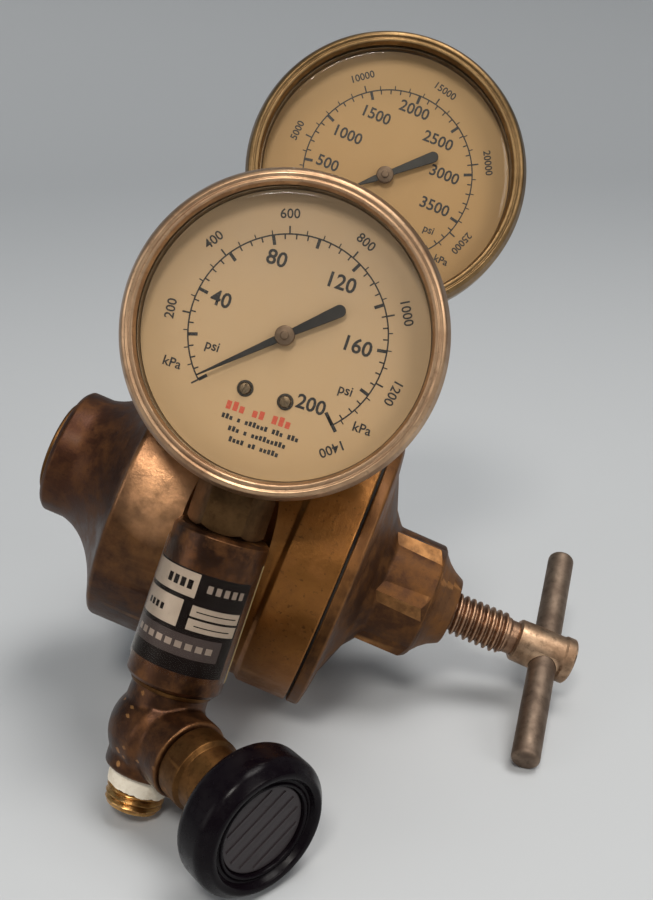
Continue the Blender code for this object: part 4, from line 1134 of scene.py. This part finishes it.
def build_gauge(prefix, tip, tail, printed):
    here, stem = gauge_frame(prefix), STEMS[prefix]

    def part(name, bm, place, finish, slot, node=None, body="regulator"):
        nodes = [f"{prefix}_{node}"] if node else []
        return piece(f"{prefix}_{name}", bm, place, finish, slot, *nodes, body=body)

    case = rounded([(-17, 0), (-17, 9, 0.4), (-16.4, 10.2, 0.6), (-16.4, 26.5, 0.8), (-17, 28, 0.8),
                    (-17, 30.4, 2.4), (-14.2, CASE_RADIUS, 2.0), (2.2, CASE_RADIUS, 0.2), (2.2, 31.0),
                    (-1.2, 31.0), (-1.2, 0)], 0.3, 6)
    part("shell", turned(case, LARGE_STEPS), here, "case", "gauge_case", "case")
    plug = lathe([(-18.0, 0), (-18.0, 4.2, 0.5), (-17.2, 5.0), (-16.8, 5.0), (-16.8, 0)], 0.3, MIDDLE_STEPS)
    part("vent_plug", plug, here, "rubber", "rubber")
    inner = CASE_RADIUS + 0.2
    bezel = rounded([(-4.5, inner), (-4.5, 34.0, 0.5), (-3.4, BEZEL_RADIUS, 0.8), (3.6, BEZEL_RADIUS, 1.6),
                     (6.1, 33.8, 1.4), (6.5, 32.9, 0.5), (6.05, 32.4), (6.35, 32.0), (6.3, 31.4),
                     (5.0, 30.9), (4.85, 30.9), (4.85, inner)], 0.3, 6)
    rim_slot = "bezel_steel" if prefix == "delivery" else "bezel_brass"
    part("ring", turned(bezel, 192), here, f"{prefix}_bezel", rim_slot, "bezel")
    crystal = lathe([(2.9, 0), (2.9, 31.9), (3.9, 31.9), (4.6, 29.3, 0.8), (4.6, 0)], 0.1, LARGE_STEPS)
    part("window", crystal, here, "crystal", "crystal", "crystal")

    face = part("face", rod(-0.8, 0, DIAL_RADIUS, LARGE_STEPS), here, f"{prefix}_dial", "dial", "dial")
    cut(face, rod(-2, 2, 1.6, 32), here)
    marks, red = printed
    off_centre = here @ shift(*PRINT_OFFSET)
    part("print", merged(*marks), off_centre, "ink", "pointer")
    part("red_print", merged(*red), off_centre, "red", "dial")
    for number, side in enumerate((-1, 1), start=1):
        spot = here @ shift(side * 4.5, -13.2, 0)
        head = lathe([(0.02, 0), (0.02, 1.3), (0.8, 1.15, 0.3), (0.95, 0)], 0.2, SMALL_STEPS)
        screw = part(f"face_screw_{number}", head, spot, "case", "machined_brass", f"dial_screw_{number}")
        # A dark ring round each screw head: painted shadow in its countersunk hole.
        shadow_ring = lathe([(0.02, 1.33), (0.02, 1.8), (0.25, 1.75), (0.35, 1.33)], 0.1, SMALL_STEPS)
        part(f"screw_seat_{number}", shadow_ring, spot, "rubber", "pointer")
        cut(screw, box(-2.5, 2.5, -0.25, 0.25, 0.55, 2), spot @ turn_z(35 + 50 * number))

    zero = here @ turn_z(DIAL_START - POINTER_OVERRUN)
    needle = prism(pointer_outline(tip, tail), 1.2, 1.65)
    bmesh.ops.bevel(needle, geom=needle.edges, offset=0.1 * MM, segments=1, affect="EDGES")
    part("needle", needle, zero, "pointer", "pointer", "pointer", f"{prefix}_pointer")
    hub = lathe([(-0.6, 0), (-0.6, 0.8), (1.0, 0.8), (1.1, 2.2), (2.0, 2.1, 0.4), (2.15, 0.9, 0.3),
                 (2.4, 0.8), (2.4, 0)], 0.2, SMALL_STEPS)
    part("needle_hub", hub, here, "tee", "pointer", body=f"{prefix}_pointer")

    barrel = lathe([(-44.7, 0), (-44.7, 7.9), (-43.8, 9.0), (-35.2, 9.0), (-34.3, 7.9), (-34.3, 0)], 0.2)
    hex_piece(f"{prefix}_hex", SOCKET_FLATS, -44.7, -34.2, barrel, stem, "socket", "machined_brass",
              f"{prefix}_socket")
    shank = lathe([(-55.4, 0), (-55.4, 5.8, 0.4), (-54, 6.4), (-43.7, 6.4), (-43.7, 0)], 0.3, MIDDLE_STEPS)
    part("shank", shank, stem, "gland", "machined_brass")


# ---- CAD pieces that stay

def inner_metal(name, dark, light, roughness):
    """Metal for the hidden CAD pieces, whose pattern follows the model's frame."""
    paint = Paint(name, light, roughness, 1.0, own=False)
    patches = paint.patches(0.36, 0.66, 220, 4, 0.6)
    paint.colour(paint.blend(patches, dark, light))
    paint.rough(paint.ramp(patches, (0, roughness + 0.15), (1, roughness)))
    paint.bump(paint.noise(900, 3, 0.5), 0.1, 0.0002)
    return paint.material


def inner_soft(name, dark, light):
    """Plastic, rubber or enamel for the hidden CAD pieces."""
    paint = Paint(name, light, 0.6, 0, own=False)
    paint.colour(paint.blend(paint.noise(500, 4, 0.6), dark, light))
    paint.bump(paint.noise(1400, 3, 0.6), 0.15, 0.0002)
    return paint.material


def finish_inside():
    """The CAD pieces that stay hold their shape and get a material by slot."""
    brass = inner_metal("inner_brass", (0.40, 0.24, 0.09), (0.66, 0.44, 0.18), 0.3)
    steel = inner_metal("inner_steel", (0.34, 0.32, 0.29), (0.55, 0.53, 0.50), 0.3)
    bronze = inner_metal("inner_bronze", (0.28, 0.16, 0.08), (0.48, 0.31, 0.15), 0.6)
    white = inner_soft("inner_ptfe", (0.70, 0.68, 0.63), (0.84, 0.82, 0.78))
    black = inner_soft("inner_black", (0.02, 0.018, 0.018), (0.05, 0.045, 0.045))
    by_slot = {"machined_brass": brass, "brass_casting": brass, "bezel_brass": brass, "gauge_case": brass,
               "steel": steel, "worn_steel": steel, "dark_steel": steel, "bezel_steel": steel,
               "sintered_bronze": bronze, "ptfe": white, "dial": white, "crystal": white}
    slots = {part["node"]: part["material_slot"] for part in frame["record"]["subparts"]}
    for node, obj in frame["nodes"].items():
        obj.data.materials.clear()
        obj.data.materials.append(by_slot.get(slots[node], black))


view_camera()
studio()
finish_inside()
build_body()
build_bonnet()
build_spring("set_spring", "range_spring", 8.2, 1.5, 2.3, 17.0, 4.5, SCREW_IN)
build_spring("valve_spring", "poppet_spring", 4.6, 1.2, -62.1, -30.6, 6, POPPET_OPEN)
build_adjuster()
build_column()
build_label()
build_valve()
build_knob()
build_nipple()
build_tape()
build_inlet()
build_gauge("delivery", 20.5, 14, delivery_print())
build_gauge("supply", 8, 14, supply_print())

for made in PIECES:
    settle(made)
